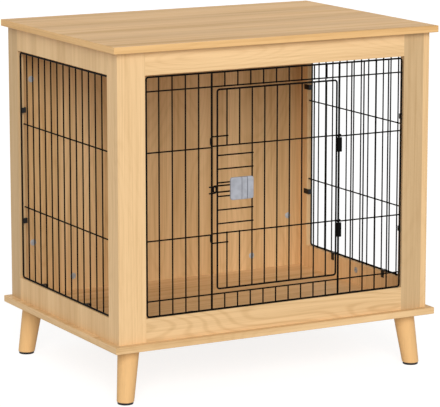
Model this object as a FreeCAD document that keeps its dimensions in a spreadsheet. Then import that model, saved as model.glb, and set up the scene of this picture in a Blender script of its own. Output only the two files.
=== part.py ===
"""Dog crate end table: a wooden kennel cabinet on four splayed legs.

Both sides and the front are frames of stiles and rails that hold welded wire panels. The front panel has a
doorway with a wire door on its right jamb wire, and a sliding latch that catches behind a keeper on the left
jamb wire. Millimetres, +Z up, the front faces -Y, and the origin is on the floor under the middle of the
footprint.
"""
import FreeCAD, Part
import math
import os
from FreeCAD import Placement, Rotation, Vector

SIZES = [
    ("body_width", 780, "cabinet body, left to right"),
    ("body_depth", 555, "cabinet body, front to back"),
    ("body_height", 630, "cabinet body, between the base and the top board"),
    ("side_thick", 15, "boards of the two side frames"),
    ("front_thick", 15, "boards of the front frame"),
    ("back_thick", 15, "back panel"),
    ("top_thick", 15, "top board"),
    ("base_thick", 15, "base board"),
    ("top_over_side", 14, "top board past the body, each side"),
    ("top_over_front", 16, "top board past the body, front"),
    ("top_over_back", 9, "top board past the body, back"),
    ("base_over_side", 14, "base board past the body, each side"),
    ("base_over_front", 16, "base board past the body, front"),
    ("base_over_back", 15, "base board past the body, back"),
    ("board_arris", 0.8, "chamfer round the top and base boards"),
    ("side_stile", 48, "width of a side frame's stile"),
    ("front_stile", 51, "width of the front frame's stile"),
    ("top_rail", 51, "height of every top rail"),
    ("bottom_rail", 52, "height of every bottom rail"),
    ("leg_length", 115, "leg without its glide"),
    ("leg_top_dia", 48, "leg at the base board"),
    ("leg_foot_dia", 38, "leg at the glide"),
    ("leg_inset_x", 39, "leg axis at its top, in from the body's side"),
    ("leg_inset_y", 32, "leg axis at its top, in from the body's front or back"),
    ("leg_splay_x", 14, "how far the foot stands out sideways"),
    ("leg_splay_y", 11, "how far the foot stands out to the front or back"),
    ("glide_thick", 5, "black glide under the leg"),
    ("glide_dia", 35, "black glide under the leg"),
    ("leg_bolt_dia", 8, "hanger bolt between base board and leg"),
    ("leg_bolt_in_leg", 30, "hanger bolt inside the leg"),
    ("leg_bolt_in_base", 11, "hanger bolt inside the base board"),
    ("frame_wire", 4, "wire of the panels' and the door's outer loops"),
    ("grid_wire", 3.2, "wire of the grids"),
    ("jamb_wire", 4.5, "upright wires beside the doorway"),
    ("loop_bend", 9, "corner radius of the wire loops, on the wire's centre"),
    ("side_set_back", 5.4, "side panel's loop behind the frame's outer face"),
    ("front_set_back", 3.55, "front panel's loop behind the frame's outer face"),
    ("side_panel_gap", 3.8, "side panel to stile"),
    ("front_panel_gap", 2, "front panel to stile"),
    ("panel_gap_low", 0.25, "panel to bottom rail"),
    ("panel_gap_high", 2.75, "panel to top rail"),
    ("side_bays", 14, "bays between uprights in a side panel"),
    ("side_short_bay", 25.5, "narrow bay at one end of a side panel"),
    ("side_long_bay", 37.9, "wide bay at the other end of a side panel"),
    ("front_bays", 20, "bays between uprights in the front panel"),
    ("door_bays", 5, "bays from the panel's edge to a jamb wire"),
    ("row_edge", 32, "front panel's outer rows from the loop"),
    ("row_mid", 164, "inner rows from the loop, all panels"),
    ("hinge_offset", 6.5, "door loop to jamb wire, hinge side"),
    ("latch_offset", 13.5, "door loop to jamb wire, latch side"),
    ("door_gap_low", 11.75, "door loop above the row below it"),
    ("door_gap_high", 6.25, "door loop below the row above it"),
    ("door_row_lift", 3.75, "door's rows above the panel's rows"),
    ("door_first_bay", 23.5, "door's first upright from its loop, latch side"),
    ("door_last_bay", 26.5, "door's last upright from its loop, hinge side"),
    ("door_uprights", 9, "uprights in the door"),
    ("rung_pitch", 30, "spacing of the short rungs beside the latch"),
    ("rungs", 6, "short rungs beside the latch"),
    ("running_gap", 0.08, "round a wire that turns in its eye"),
    ("stop_height", 21, "door stop loop"),
    ("stop_reach", 5, "door stop past the jamb wire"),
    ("stop_bend", 6, "door stop's corner radius, on the wire's centre"),
    ("clip_height", 32, "rolled hinge clip"),
    ("clip_drop", 4, "hinge clip below the panel's row"),
    ("clip_sheet", 1, "hinge clip's sheet"),
    ("clip_roll", 3.6, "rolled edge of the hinge clip"),
    ("handle_width", 60.5, "latch handle"),
    ("handle_height", 49.5, "latch handle"),
    ("handle_thick", 8, "latch handle"),
    ("handle_corner", 5, "latch handle's corner radius"),
    ("handle_flat", 30, "smooth part of the handle, left of its ridge"),
    ("handle_ridge", 12, "raised ridge of the handle"),
    ("handle_step", 2, "how far the smooth part lies below the ridge"),
    ("handle_offset", 23.5, "handle's left end from the door loop"),
    ("slide_gap", 0.2, "between the latch's sliding parts and the wires"),
    ("slider_width", 36, "latch slider behind the rungs"),
    ("slider_inset", 2, "slider's left end from the handle's"),
    ("slider_overlap", 4, "slider past each rung"),
    ("bolt_wire", 3.5, "latch bolt"),
    ("bolt_spacing", 14, "between the bolt's two arms"),
    ("bolt_bend", 4, "latch bolt's corner radius, on the wire's centre"),
    ("bolt_end_gap", 1.75, "bolt's nose to the jamb wire"),
    ("bolt_wall", 1.5, "slider behind the bolt"),
    ("bolt_in_slider", 30, "bolt's arms inside the slider"),
    ("keeper_left", 9, "keeper's arms past the jamb wire"),
    ("keeper_right", 8.8, "keeper's bend past the jamb wire, on the wire's centre"),
    ("keeper_bend", 4, "keeper's corner radius, on the wire's centre"),
    ("latch_screw_dia", 3, "screws that join handle and slider"),
    ("latch_screw_head", 5.5, "screws that join handle and slider"),
    ("latch_screw_in", 5, "screws inside the handle"),
    ("cam_dia", 15, "cam lock"),
    ("cam_depth", 12, "cam lock"),
    ("cam_inset", 34, "cam lock's centre from the board's edge"),
    ("cam_gap", 0.05, "round a cam lock"),
    ("cam_bolt_dia", 7, "cam bolt"),
    ("cam_bolt_in", 11, "cam bolt inside the board that it is screwed into"),
    ("back_cam_rise", 124, "back panel's side cam locks from its top or bottom"),
    ("back_cam_inset", 135, "back panel's other cam locks from its side"),
    ("dowel_dia", 8, "dowel between stile and rail"),
    ("dowel_in", 15, "dowel inside each board"),
    ("holder_width", 12, "panel holder"),
    ("holder_sheet", 1.2, "panel holder"),
    ("holder_foot", 13, "panel holder on the board's inner face"),
    ("holder_fit", 0.05, "round the wire that a panel holder grips"),
    ("holder_rise", 128, "panel holders on a stile, from the panel's middle"),
    ("holder_peg_dia", 4, "panel holder's peg"),
    ("holder_peg_in", 9, "panel holder's peg in the board"),
]

doc = FreeCAD.newDocument("crate_end_table")
sheet = doc.addObject("Spreadsheet::Sheet", "Sizes")
for row, (alias, value, note) in enumerate(SIZES, start=1):
    sheet.set(f"A{row}", note)
    sheet.set(f"B{row}", str(value))
    sheet.setAlias(f"B{row}", alias)
doc.recompute()

X, Y, Z = Vector(1, 0, 0), Vector(0, 1, 0), Vector(0, 0, 1)
WAY = {"+x": X, "-x": -X, "+y": Y, "-y": -Y, "+z": Z, "-z": -Z}
OCTAGON = 8
PIN_FLATS = 12
ROUND_FLATS = 24
EIGHTH_TURN = Rotation(Z, 22.5)  # turns an octagon's flats to face the axes
TURN_TO = {"+x": Rotation(Z, X), "-x": Rotation(Z, -X), "+y": Rotation(Z, Y), "-y": Rotation(Z, -Y),
           "+z": Rotation(), "-z": Rotation(X, 180)}

# expressions that several pieces share
S = {alias: f"Sizes.{alias}" for alias, _, _ in SIZES}
HALF_WIDTH = "Sizes.body_width / 2"
FRONT = ("-(Sizes.body_depth + max(Sizes.top_over_back; Sizes.base_over_back)"
         " - max(Sizes.top_over_front; Sizes.base_over_front)) / 2")
BACK = f"({FRONT} + Sizes.body_depth)"
BASE_UNDER = "(Sizes.leg_length + Sizes.glide_thick)"
FLOOR = f"({BASE_UNDER} + Sizes.base_thick)"
ROOF = f"({FLOOR} + Sizes.body_height)"
INNER_WIDTH = "(Sizes.body_width - 2 * Sizes.side_thick)"
SIDE_OPENING = "(Sizes.body_depth - 2 * Sizes.side_stile)"
FRONT_OPENING = "(Sizes.body_width - 2 * Sizes.side_thick - 2 * Sizes.front_stile)"
PANEL_HEIGHT = ("(Sizes.body_height - Sizes.top_rail - Sizes.bottom_rail - Sizes.panel_gap_low"
                " - Sizes.panel_gap_high - Sizes.frame_wire)")
PANEL_FOOT = f"({FLOOR} + Sizes.bottom_rail + Sizes.panel_gap_low + Sizes.frame_wire / 2)"
SIDE_PANEL = f"({SIDE_OPENING} - 2 * Sizes.side_panel_gap - Sizes.frame_wire)"
FRONT_PANEL = f"({FRONT_OPENING} - 2 * Sizes.front_panel_gap - Sizes.frame_wire)"

sub_parts = []


def place(item, at, turn=Rotation()):
    """Turn an object, then bind its position to three expressions."""
    item.Placement = Placement(Vector(), turn)
    for axis, expression in zip("xyz", at):
        item.setExpression(f"Placement.Base.{axis}", str(expression))
    return item


def plus(*terms):
    return "(" + " + ".join(f"({term})" for term in terms) + ")"


def less(first, *rest):
    return f"(({first})" + "".join(f" - ({term})" for term in rest) + ")"


def shifted(at, way, distance):
    """A point moved along one of the six directions."""
    step = plus if way[0] == "+" else less
    return tuple(step(term, distance) if axis == way[1] else term for axis, term in zip("xyz", at))


def opposite(way):
    return ("-" if way[0] == "+" else "+") + way[1]


def keep(item, label):
    """Name an object as one sub-part of the assembly."""
    item.Label = label
    sub_parts.append(item)
    return item


def flat_sided(item, dia, length, flats):
    """Bind the size of a prism with this many flats, dia apart."""
    item.Polygon = flats
    item.setExpression("Circumradius", f"({dia}) / 2 / cos(180 / {flats})")
    item.setExpression("Height", length)


def facing(way, flats):
    """The turn that points a prism one way with its flats facing the axes."""
    return TURN_TO[way] * Rotation(Z, 180 / flats)


# ---------------------------------------------------------------- boards

def board(label, at, length, depth, height):
    """A board as a body whose near, left, lower corner is at the body's own origin."""
    body = doc.addObject("PartDesign::Body", label)
    stock = body.newObject("PartDesign::AdditiveBox", label + "_stock")
    stock.setExpression("Length", length)
    stock.setExpression("Width", depth)
    stock.setExpression("Height", height)
    corner[body.Name] = at
    place(body, at)
    return keep(body, label)


def drill(body, dia, depth, at, way, flats=OCTAGON):
    """A blind hole into a board from a point of the assembly, with flats dia apart."""
    hole = body.newObject("PartDesign::SubtractivePrism", f"{body.Name}_hole_{len(body.Group)}")
    flat_sided(hole, dia, depth, flats)
    place(hole, tuple(less(term, start) for term, start in zip(at, corner[body.Name])), facing(way, flats))
    body.Tip = hole


def subtract_box(body, name, at, length, depth, height):
    """Cut a block away from a body; its near, left, lower corner is at a point of the body."""
    cut = body.newObject("PartDesign::SubtractiveBox", name)
    cut.setExpression("Length", length)
    cut.setExpression("Width", depth)
    cut.setExpression("Height", height)
    place(cut, at)
    body.Tip = cut


def arris(body, size):
    """Chamfer every edge of a body."""
    doc.recompute()
    stock = body.Tip
    cut = body.newObject("PartDesign::Chamfer", body.Name + "_arris")
    cut.Base = (stock, [f"Edge{i}" for i in range(1, len(stock.Shape.Edges) + 1)])
    cut.setExpression("Size", size)
    body.Tip = cut


def slab(label, over, thick, z):
    """The top or base board, which overhangs the body by over_side, over_front and over_back."""
    side, front, back = (S[f"{over}_over_{edge}"] for edge in ("side", "front", "back"))
    body = board(label,
                 (less(f"-{HALF_WIDTH}", side), less(FRONT, front), z),
                 plus("Sizes.body_width", side, side),
                 plus("Sizes.body_depth", front, back), thick)
    arris(body, S["board_arris"])
    return body


corner = {}
top_board = slab("top_board", "top", S["top_thick"], ROOF)
base_board = slab("base_board", "base", S["base_thick"], BASE_UNDER)
back_panel = board("back_panel", (f"-{INNER_WIDTH} / 2", less(BACK, S["back_thick"]), FLOOR),
                   INNER_WIDTH, S["back_thick"], S["body_height"])

LEVEL_FOOT = {"top": less(ROOF, S["top_rail"]), "bottom": FLOOR}
END_OF_SIDE = {"front": FRONT, "rear": less(BACK, S["side_stile"])}
side_boards, front_boards = {}, {}
for side, left_edge in (("left", f"-{HALF_WIDTH}"), ("right", less(HALF_WIDTH, S["side_thick"]))):
    for end, y in END_OF_SIDE.items():
        side_boards[side, end] = board(f"{side}_{end}_stile", (left_edge, y, FLOOR),
                                       S["side_thick"], S["side_stile"], S["body_height"])
    for level, z in LEVEL_FOOT.items():
        side_boards[side, level] = board(f"{side}_{level}_rail", (left_edge, plus(FRONT, S["side_stile"]), z),
                                         S["side_thick"], SIDE_OPENING, S[f"{level}_rail"])
for side, x in (("left", f"-{INNER_WIDTH} / 2"), ("right", less(f"{INNER_WIDTH} / 2", S["front_stile"]))):
    front_boards[side] = board(f"front_{side}_stile", (x, FRONT, FLOOR),
                               S["front_stile"], S["front_thick"], S["body_height"])
for level, z in LEVEL_FOOT.items():
    front_boards[level] = board(f"front_{level}_rail", (f"-{FRONT_OPENING} / 2", FRONT, z),
                                FRONT_OPENING, S["front_thick"], S[f"{level}_rail"])


# ---------------------------------------------------------------- dowels and cam locks

def prism(name, dia, at, length, way, flats=OCTAGON):
    """A bar with flats dia apart, from a point along one of the six directions."""
    item = doc.addObject("Part::Prism", name)
    flat_sided(item, dia, length, flats)
    return place(item, at, facing(way, flats))


def box(name, at, length, depth, height):
    """A block whose near, left, lower corner is at a point."""
    item = doc.addObject("Part::Box", name)
    item.setExpression("Length", length)
    item.setExpression("Width", depth)
    item.setExpression("Height", height)
    return place(item, at)


def group(label, pieces):
    """Identical separate pieces as one sub-part."""
    item = doc.addObject("Part::Compound", label)
    item.Links = pieces
    return keep(item, label)


def dowel_joint(first, second, at, way):
    """A dowel half in each of two boards that meet at a point; way leads from the first into the second."""
    start = shifted(at, opposite(way), S["dowel_in"])
    drill(first, S["dowel_dia"], S["dowel_in"], start, way)
    drill(second, S["dowel_dia"], S["dowel_in"], at, way)
    return prism("dowel", S["dowel_dia"], start, f"2 * {S['dowel_in']}", way)


def cam_joint(held, carrier, at, way, face, into):
    """A cam lock in one board's inner face that draws in a bolt standing in the board that its edge meets."""
    centre = shifted(at, opposite(way), S["cam_inset"])
    bore = tuple(face if axis == into[1] else term for axis, term in zip("xyz", centre))
    drill(held, f"({S['cam_dia']} + 2 * {S['cam_gap']})", S["cam_depth"], bore, into, PIN_FLATS)
    drill(held, S["cam_bolt_dia"], S["cam_inset"], centre, way)
    drill(carrier, S["cam_bolt_dia"], S["cam_bolt_in"], at, way)
    lock = prism("cam_lock", S["cam_dia"], bore, S["cam_depth"], into, PIN_FLATS)
    rim = shifted(centre, way, f"{S['cam_dia']} / 2")
    reach = plus(less(S["cam_inset"], f"{S['cam_dia']} / 2"), S["cam_bolt_in"])
    return lock, prism("cam_bolt", S["cam_bolt_dia"], rim, reach, way)


dowels = {"side": [], "front": []}
for side, middle in (("left", plus(f"-{HALF_WIDTH}", f"{S['side_thick']} / 2")),
                     ("right", less(HALF_WIDTH, f"{S['side_thick']} / 2"))):
    for level, z in LEVEL_FOOT.items():
        rail, height = side_boards[side, level], plus(z, f"{S[level + '_rail']} / 2")
        front_end, rear_end = plus(FRONT, S["side_stile"]), less(BACK, S["side_stile"])
        dowels["side"].append(dowel_joint(side_boards[side, "front"], rail, (middle, front_end, height), "+y"))
        dowels["side"].append(dowel_joint(rail, side_boards[side, "rear"], (middle, rear_end, height), "+y"))
for level, z in LEVEL_FOOT.items():
    rail, height = front_boards[level], plus(z, f"{S[level + '_rail']} / 2")
    middle = plus(FRONT, f"{S['front_thick']} / 2")
    dowels["front"].append(dowel_joint(front_boards["left"], rail, (f"-{FRONT_OPENING} / 2", middle, height), "+x"))
    dowels["front"].append(dowel_joint(rail, front_boards["right"], (f"{FRONT_OPENING} / 2", middle, height), "+x"))
group("side_frame_dowels", dowels["side"])
group("front_frame_dowels", dowels["front"])

back_face = less(BACK, S["back_thick"])
back_middle = less(BACK, f"{S['back_thick']} / 2")
back_cams, frame_cams = [], []
for rise in (plus(FLOOR, S["back_cam_rise"]), less(ROOF, S["back_cam_rise"])):
    for side, x, way in (("left", f"-{INNER_WIDTH} / 2", "-x"), ("right", f"{INNER_WIDTH} / 2", "+x")):
        back_cams.append(cam_joint(back_panel, side_boards[side, "rear"], (x, back_middle, rise), way, back_face, "+y"))
for carrier, z, way in ((base_board, FLOOR, "-z"), (top_board, ROOF, "+z")):
    for x in (plus(f"-{INNER_WIDTH} / 2", S["back_cam_inset"]), less(f"{INNER_WIDTH} / 2", S["back_cam_inset"])):
        back_cams.append(cam_joint(back_panel, carrier, (x, back_middle, z), way, back_face, "+y"))
for level, carrier, z, way in (("bottom", base_board, FLOOR, "-z"), ("top", top_board, ROOF, "+z")):
    length_middle = plus(FRONT, "Sizes.body_depth / 2")
    frame_cams.append(cam_joint(side_boards["left", level], carrier,
                                (plus(f"-{HALF_WIDTH}", f"{S['side_thick']} / 2"), length_middle, z), way,
                                plus(f"-{HALF_WIDTH}", S["side_thick"]), "-x"))
    frame_cams.append(cam_joint(side_boards["right", level], carrier,
                                (less(HALF_WIDTH, f"{S['side_thick']} / 2"), length_middle, z), way,
                                less(HALF_WIDTH, S["side_thick"]), "+x"))
    frame_cams.append(cam_joint(front_boards[level], carrier,
                                ("0", plus(FRONT, f"{S['front_thick']} / 2"), z), way,
                                plus(FRONT, S["front_thick"]), "-y"))
group("back_panel_cam_locks", [lock for lock, _ in back_cams])
group("back_panel_cam_bolts", [bolt for _, bolt in back_cams])
group("frame_cam_locks", [lock for lock, _ in frame_cams])
group("frame_cam_bolts", [bolt for _, bolt in frame_cams])


# ---------------------------------------------------------------- legs

def level_outline(name, dia, at):
    """A level many-sided outline that passes for a circle."""
    item = doc.addObject("Part::RegularPolygon", name)
    item.Polygon = ROUND_FLATS
    item.setExpression("Circumradius", f"({dia}) / 2")
    return place(item, at)


def leg(side, end):
    """A tapered round leg, level at both ends, whose foot stands out to its side and end; its glide and bolt."""
    x_sign, y_sign = ("-" if side == "left" else ""), ("-" if end == "front" else "")
    top_x = f"{x_sign}({HALF_WIDTH} - {S['leg_inset_x']})"
    top_y = plus(FRONT, S["leg_inset_y"]) if end == "front" else less(BACK, S["leg_inset_y"])
    foot_x, foot_y = plus(top_x, f"{x_sign}{S['leg_splay_x']}"), plus(top_y, f"{y_sign}{S['leg_splay_y']}")
    taper = doc.addObject("Part::Loft", "leg_taper")
    taper.Sections = [level_outline("leg_foot", S["leg_foot_dia"], (foot_x, foot_y, S["glide_thick"])),
                      level_outline("leg_top", S["leg_top_dia"], (top_x, top_y, BASE_UNDER))]
    taper.Solid = True
    taper.Ruled = True
    start = (top_x, top_y, less(BASE_UNDER, S["leg_bolt_in_leg"]))
    drilled = doc.addObject("Part::Cut", "leg")
    drilled.Base = taper
    drilled.Tool = prism("leg_hole", S["leg_bolt_dia"], start, S["leg_bolt_in_leg"], "+z")
    drill(base_board, S["leg_bolt_dia"], S["leg_bolt_in_base"], (top_x, top_y, BASE_UNDER), "+z")
    bolt = prism("leg_bolt", S["leg_bolt_dia"], start, plus(S["leg_bolt_in_leg"], S["leg_bolt_in_base"]), "+z")
    glide = prism("leg_glide", S["glide_dia"], (foot_x, foot_y, "0"), S["glide_thick"], "+z", ROUND_FLATS)
    return drilled, glide, bolt


legs = {end: [leg(side, end) for side in ("left", "right")] for end in ("front", "rear")}
for end, pair in legs.items():
    group(f"{end}_legs", [drilled for drilled, _, _ in pair])
    group(f"{end}_leg_glides", [glide for _, glide, _ in pair])
group("leg_bolts", [bolt for _, _, bolt in legs["front"] + legs["rear"]])


# ---------------------------------------------------------------- wire forms
# Each wire form is drawn in its panel's own frame: x along the panel, y inwards, z up, with the centre of the
# outer loop's lower left corner at the origin. Straight wires and bends are welded into one solid.

FACET = 30  # degrees that each facet of a bend turns
QUARTER_TURN = [(angle, 1) for angle in range(0, 91, FACET)]
# round a pin the facets touch the true circle from outside, so that the eye turns freely
EYE_TURN = ([(0, 1)] + [(angle, 1 / math.cos(math.radians(FACET / 2))) for angle in range(FACET // 2, 180, FACET)]
            + [(180, 1)])
TAIL = f"({S['frame_wire']} * 0.35)"  # how far a wire runs on past the centre of the one it is welded to
UPRIGHT_Y = f"(({S['frame_wire']} + {S['grid_wire']}) / 2)"
ROW_Y = plus(UPRIGHT_Y, S["grid_wire"])


def bend(dia, radius, centre, start, toward, stations=QUARTER_TURN):
    """A wire bent round a centre, from one direction towards another, square to it, through flat facets.

    stations are the angles of its sections and how far each stands out, as a multiple of the radius.
    """
    item = doc.addObject("Part::Loft", "bend")
    rings = []
    for angle, stretch in stations:
        ring = doc.addObject("Part::RegularPolygon", "wire_section")
        ring.Polygon = OCTAGON
        ring.setExpression("Circumradius", f"({dia}) / 2 / cos(22.5)")
        reach = f"({radius}) * {stretch}"
        place(ring, (f"{reach} * cos({angle})", f"{reach} * sin({angle})", "0"),
              Rotation(Z, angle) * Rotation(X, 90) * EIGHTH_TURN)
        rings.append(ring)
    item.Sections = rings
    item.Solid = True
    item.Ruled = True
    begin, end = WAY[start], WAY[toward]
    return place(item, centre, Rotation(begin, end, begin.cross(end), "XYZ"))


def wire(dia, at, length, way):
    return prism("wire", dia, at, length, way)


def hinge_pin(dia, at, length, way):
    """A wire that an eye turns on; the ridges between its flats lie on a circle of the full diameter."""
    return prism("hinge_pin", f"({dia}) * cos(180 / {PIN_FLATS})", at, length, way, PIN_FLATS)


def upright(x, y, low, high):
    return wire(S["grid_wire"], (x, y, low), less(high, low), "+z")


def cross_wire(left, right, y, z):
    return wire(S["grid_wire"], (left, y, z), less(right, left), "+x")


def loop_wire(begin, end, y, z):
    """A level stretch of a loop."""
    return wire(S["frame_wire"], (begin, y, z), less(end, begin), "+x")


def loop_end(side, x, low, high, y):
    """A loop's left or right wire with the bent corner at each of its ends."""
    radius, dia = S["loop_bend"], S["frame_wire"]
    centre = plus(x, radius) if side == "left" else less(x, radius)
    foot, top = plus(low, radius), less(high, radius)
    turns = (("-z", "-x"), ("-x", "+z")) if side == "left" else (("+x", "-z"), ("+z", "+x"))
    return [wire(dia, (x, y, foot), less(top, foot), "+z"),
            bend(dia, radius, (centre, y, foot), *turns[0]),
            bend(dia, radius, (centre, y, top), *turns[1])]


def loop(left, low, right, high, y):
    """A closed rectangle of frame wire with bent corners."""
    inner = plus(left, S["loop_bend"]), less(right, S["loop_bend"])
    return (loop_end("left", left, low, high, y) + loop_end("right", right, low, high, y)
            + [loop_wire(*inner, y, low), loop_wire(*inner, y, high)])


def welded(wires):
    """Wires that touch, as one solid."""
    item = doc.addObject("Part::MultiFuse", "welded_wires")
    item.Shapes = wires
    item.Refine = False
    return item


def weld(label, wires, at, turn=Rotation()):
    """Wires that touch, welded into one solid and put in its place."""
    return keep(place(welded(wires), at, turn), label)


SIDE_PITCH = f"(({SIDE_PANEL} - {S['side_short_bay']} - {S['side_long_bay']}) / ({S['side_bays']} - 2))"


def side_wire_panel(label, at, turn):
    high = plus(PANEL_HEIGHT, TAIL)
    wires = loop("0", "0", SIDE_PANEL, PANEL_HEIGHT, "0")
    for bay in range(int(sheet.side_bays) - 1):
        wires.append(upright(plus(S["side_short_bay"], f"{bay} * {SIDE_PITCH}"), UPRIGHT_Y, f"-{TAIL}", high))
    for z in (S["row_mid"], less(PANEL_HEIGHT, S["row_mid"])):
        wires.append(cross_wire(f"-{TAIL}", plus(SIDE_PANEL, TAIL), ROW_Y, z))
    return weld(label, wires, at, turn)


side_loop_in = plus(S["side_stile"], S["side_panel_gap"], f"{S['frame_wire']} / 2")
side_wire_panel("left_wire_panel",
                (plus(f"-{HALF_WIDTH}", S["side_set_back"]), less(BACK, side_loop_in), PANEL_FOOT), Rotation(Z, -90))
side_wire_panel("right_wire_panel",
                (less(HALF_WIDTH, S["side_set_back"]), plus(FRONT, side_loop_in), PANEL_FOOT), Rotation(Z, 90))

# ---------------------------------------------------------------- front panel and its doorway
FRONT_PITCH = f"({FRONT_PANEL} / {S['front_bays']})"
JAMB_LEFT = f"({S['door_bays']} * {FRONT_PITCH})"
JAMB_RIGHT = f"({FRONT_PANEL} - {JAMB_LEFT})"
ROW_LOW, ROW_HIGH = S["row_mid"], less(PANEL_HEIGHT, S["row_mid"])
SILL, LINTEL = S["row_edge"], less(PANEL_HEIGHT, S["row_edge"])
LATCH_Z = f"(({ROW_LOW} + {ROW_HIGH}) / 2 + {S['door_row_lift']})"
FRONT_PANEL_AT = (f"-{FRONT_PANEL} / 2", plus(FRONT, S["front_set_back"]), PANEL_FOOT)


def hairpin(dia, nose, spacing, radius, arm_end, y, z, way):
    """Two level arms joined by a bent nose; way is where the nose points."""
    arm_way = opposite(way)
    inner = plus(nose, radius) if way == "-x" else less(nose, radius)
    arm_start = inner if way == "-x" else arm_end
    arm_length = less(arm_end, inner) if way == "-x" else less(inner, arm_end)
    low, high = less(z, f"{spacing} / 2"), plus(z, f"{spacing} / 2")
    return [wire(dia, (arm_start, y, low), arm_length, "+x"),
            wire(dia, (arm_start, y, high), arm_length, "+x"),
            wire(dia, (nose, y, plus(low, radius)), less(spacing, radius, radius), "+z"),
            bend(dia, radius, (inner, y, plus(low, radius)), way, "-z"),
            bend(dia, radius, (inner, y, less(high, radius)), "+z", way)]


# The front panel is one welded piece. It is drawn as four solids that meet where the doorway's corners are, so that
# the doorway stays open between their collision pieces.
CUT_LEFT, CUT_RIGHT = plus(JAMB_LEFT, f"{S['jamb_wire']} / 2"), less(JAMB_RIGHT, f"{S['jamb_wire']} / 2")
bays, beside = int(sheet.front_bays), int(sheet.door_bays)


def panel_end(side):
    """The panel beside the doorway, with its jamb wire."""
    left = side == "left"
    begin, cut_begin = ("0", S["loop_bend"]) if left else (CUT_RIGHT, CUT_RIGHT)
    stop, cut_stop = (CUT_LEFT, CUT_LEFT) if left else (FRONT_PANEL, less(FRONT_PANEL, S["loop_bend"]))
    wires = loop_end(side, begin if left else stop, "0", PANEL_HEIGHT, "0")
    wires += [loop_wire(cut_begin, cut_stop, "0", z) for z in ("0", PANEL_HEIGHT)]
    jamb, jamb_x = (wire, JAMB_LEFT) if left else (hinge_pin, JAMB_RIGHT)
    wires.append(jamb(S["jamb_wire"], (jamb_x, UPRIGHT_Y, f"-{TAIL}"), plus(PANEL_HEIGHT, TAIL, TAIL), "+z"))
    for bay in range(1, beside) if left else range(bays - beside + 1, bays):
        wires.append(upright(f"({bay} * {FRONT_PITCH})", UPRIGHT_Y, f"-{TAIL}", plus(PANEL_HEIGHT, TAIL)))
    outer = f"-{TAIL}" if left else plus(FRONT_PANEL, TAIL)
    for z, run_on in ((SILL, CUT_LEFT if left else CUT_RIGHT), (ROW_LOW, None), (ROW_HIGH, None),
                      (LINTEL, CUT_LEFT if left else CUT_RIGHT)):
        inner_end = run_on or (plus(JAMB_LEFT, TAIL) if left else less(JAMB_RIGHT, TAIL))
        wires.append(cross_wire(*((outer, inner_end) if left else (inner_end, outer)), ROW_Y, z))
    return wires


def doorway_edge(loop_z, row_z, low, high):
    """The strip of panel below or above the doorway."""
    return ([loop_wire(CUT_LEFT, CUT_RIGHT, "0", loop_z), cross_wire(CUT_LEFT, CUT_RIGHT, ROW_Y, row_z)]
            + [upright(f"({bay} * {FRONT_PITCH})", UPRIGHT_Y, low, high) for bay in range(beside + 1, bays - beside)])


keeper_y = less(UPRIGHT_Y, f"({S['jamb_wire']} + {S['grid_wire']}) / 2 - 0.3")
keeper = hairpin(S["grid_wire"], plus(JAMB_LEFT, S["keeper_right"]), S["bolt_spacing"], S["keeper_bend"],
                 less(JAMB_LEFT, S["keeper_left"]), keeper_y, LATCH_Z, "+x")
front_panel = group("front_wire_panel", [
    welded(panel_end("left") + keeper),
    welded(panel_end("right")),
    welded(doorway_edge("0", SILL, f"-{TAIL}", plus(SILL, TAIL))),
    welded(doorway_edge(PANEL_HEIGHT, LINTEL, less(LINTEL, TAIL), plus(PANEL_HEIGHT, TAIL)))])
place(front_panel, FRONT_PANEL_AT)

# ---------------------------------------------------------------- door
DOOR_LEFT, DOOR_RIGHT = plus(JAMB_LEFT, S["latch_offset"]), less(JAMB_RIGHT, S["hinge_offset"])
DOOR_LOW, DOOR_HIGH = plus(SILL, S["door_gap_low"]), less(LINTEL, S["door_gap_high"])
EYE_RADIUS = plus(f"({S['jamb_wire']} + {S['grid_wire']}) / 2", S["running_gap"])
DOOR_ROW_Y = less(UPRIGHT_Y, EYE_RADIUS)
DOOR_UPRIGHT_Y = plus(DOOR_ROW_Y, S["grid_wire"])
DOOR_LOOP_Y = plus(DOOR_ROW_Y, f"({S['grid_wire']} + {S['frame_wire']}) / 2")
DOOR_ROW_LOW, DOOR_ROW_HIGH = plus(ROW_LOW, S["door_row_lift"]), plus(ROW_HIGH, S["door_row_lift"])
DOOR_FIRST = plus(DOOR_LEFT, S["door_first_bay"])
DOOR_PITCH = f"(({DOOR_RIGHT} - {DOOR_LEFT} - {S['door_first_bay']} - {S['door_last_bay']}) / ({S['door_uprights']} - 1))"
WINDOW_RIGHT = plus(DOOR_FIRST, f"2 * {DOOR_PITCH}")


def door_row(z, stop_way):
    """A row that ends in an eye round the right jamb wire and in a stop loop before the left one."""
    grid, radius = S["grid_wire"], S["stop_bend"]
    reach = less(JAMB_LEFT, S["stop_reach"])
    inner = plus(reach, radius)
    back = opposite(stop_way)
    tip = shifted((inner, DOOR_ROW_Y, z), stop_way, S["stop_height"])
    rise_from = min(("+z", (reach, DOOR_ROW_Y, plus(z, radius))), ("-z", (reach, DOOR_ROW_Y, less(z, radius))),
                    key=lambda option: option[0] != stop_way)[1]
    return [wire(grid, (inner, DOOR_ROW_Y, z), less(JAMB_RIGHT, inner), "+x"),
            bend(grid, EYE_RADIUS, (JAMB_RIGHT, UPRIGHT_Y, z), "-y", "+x", EYE_TURN),
            bend(grid, radius, shifted((inner, DOOR_ROW_Y, z), stop_way, radius), back, "-x"),
            wire(grid, rise_from, less(S["stop_height"], radius, radius), stop_way),
            bend(grid, radius, shifted(tip, back, radius), "-x", stop_way),
            wire(grid, tip, less(DOOR_FIRST, inner, f"-{TAIL}"), "+x")]


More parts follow.
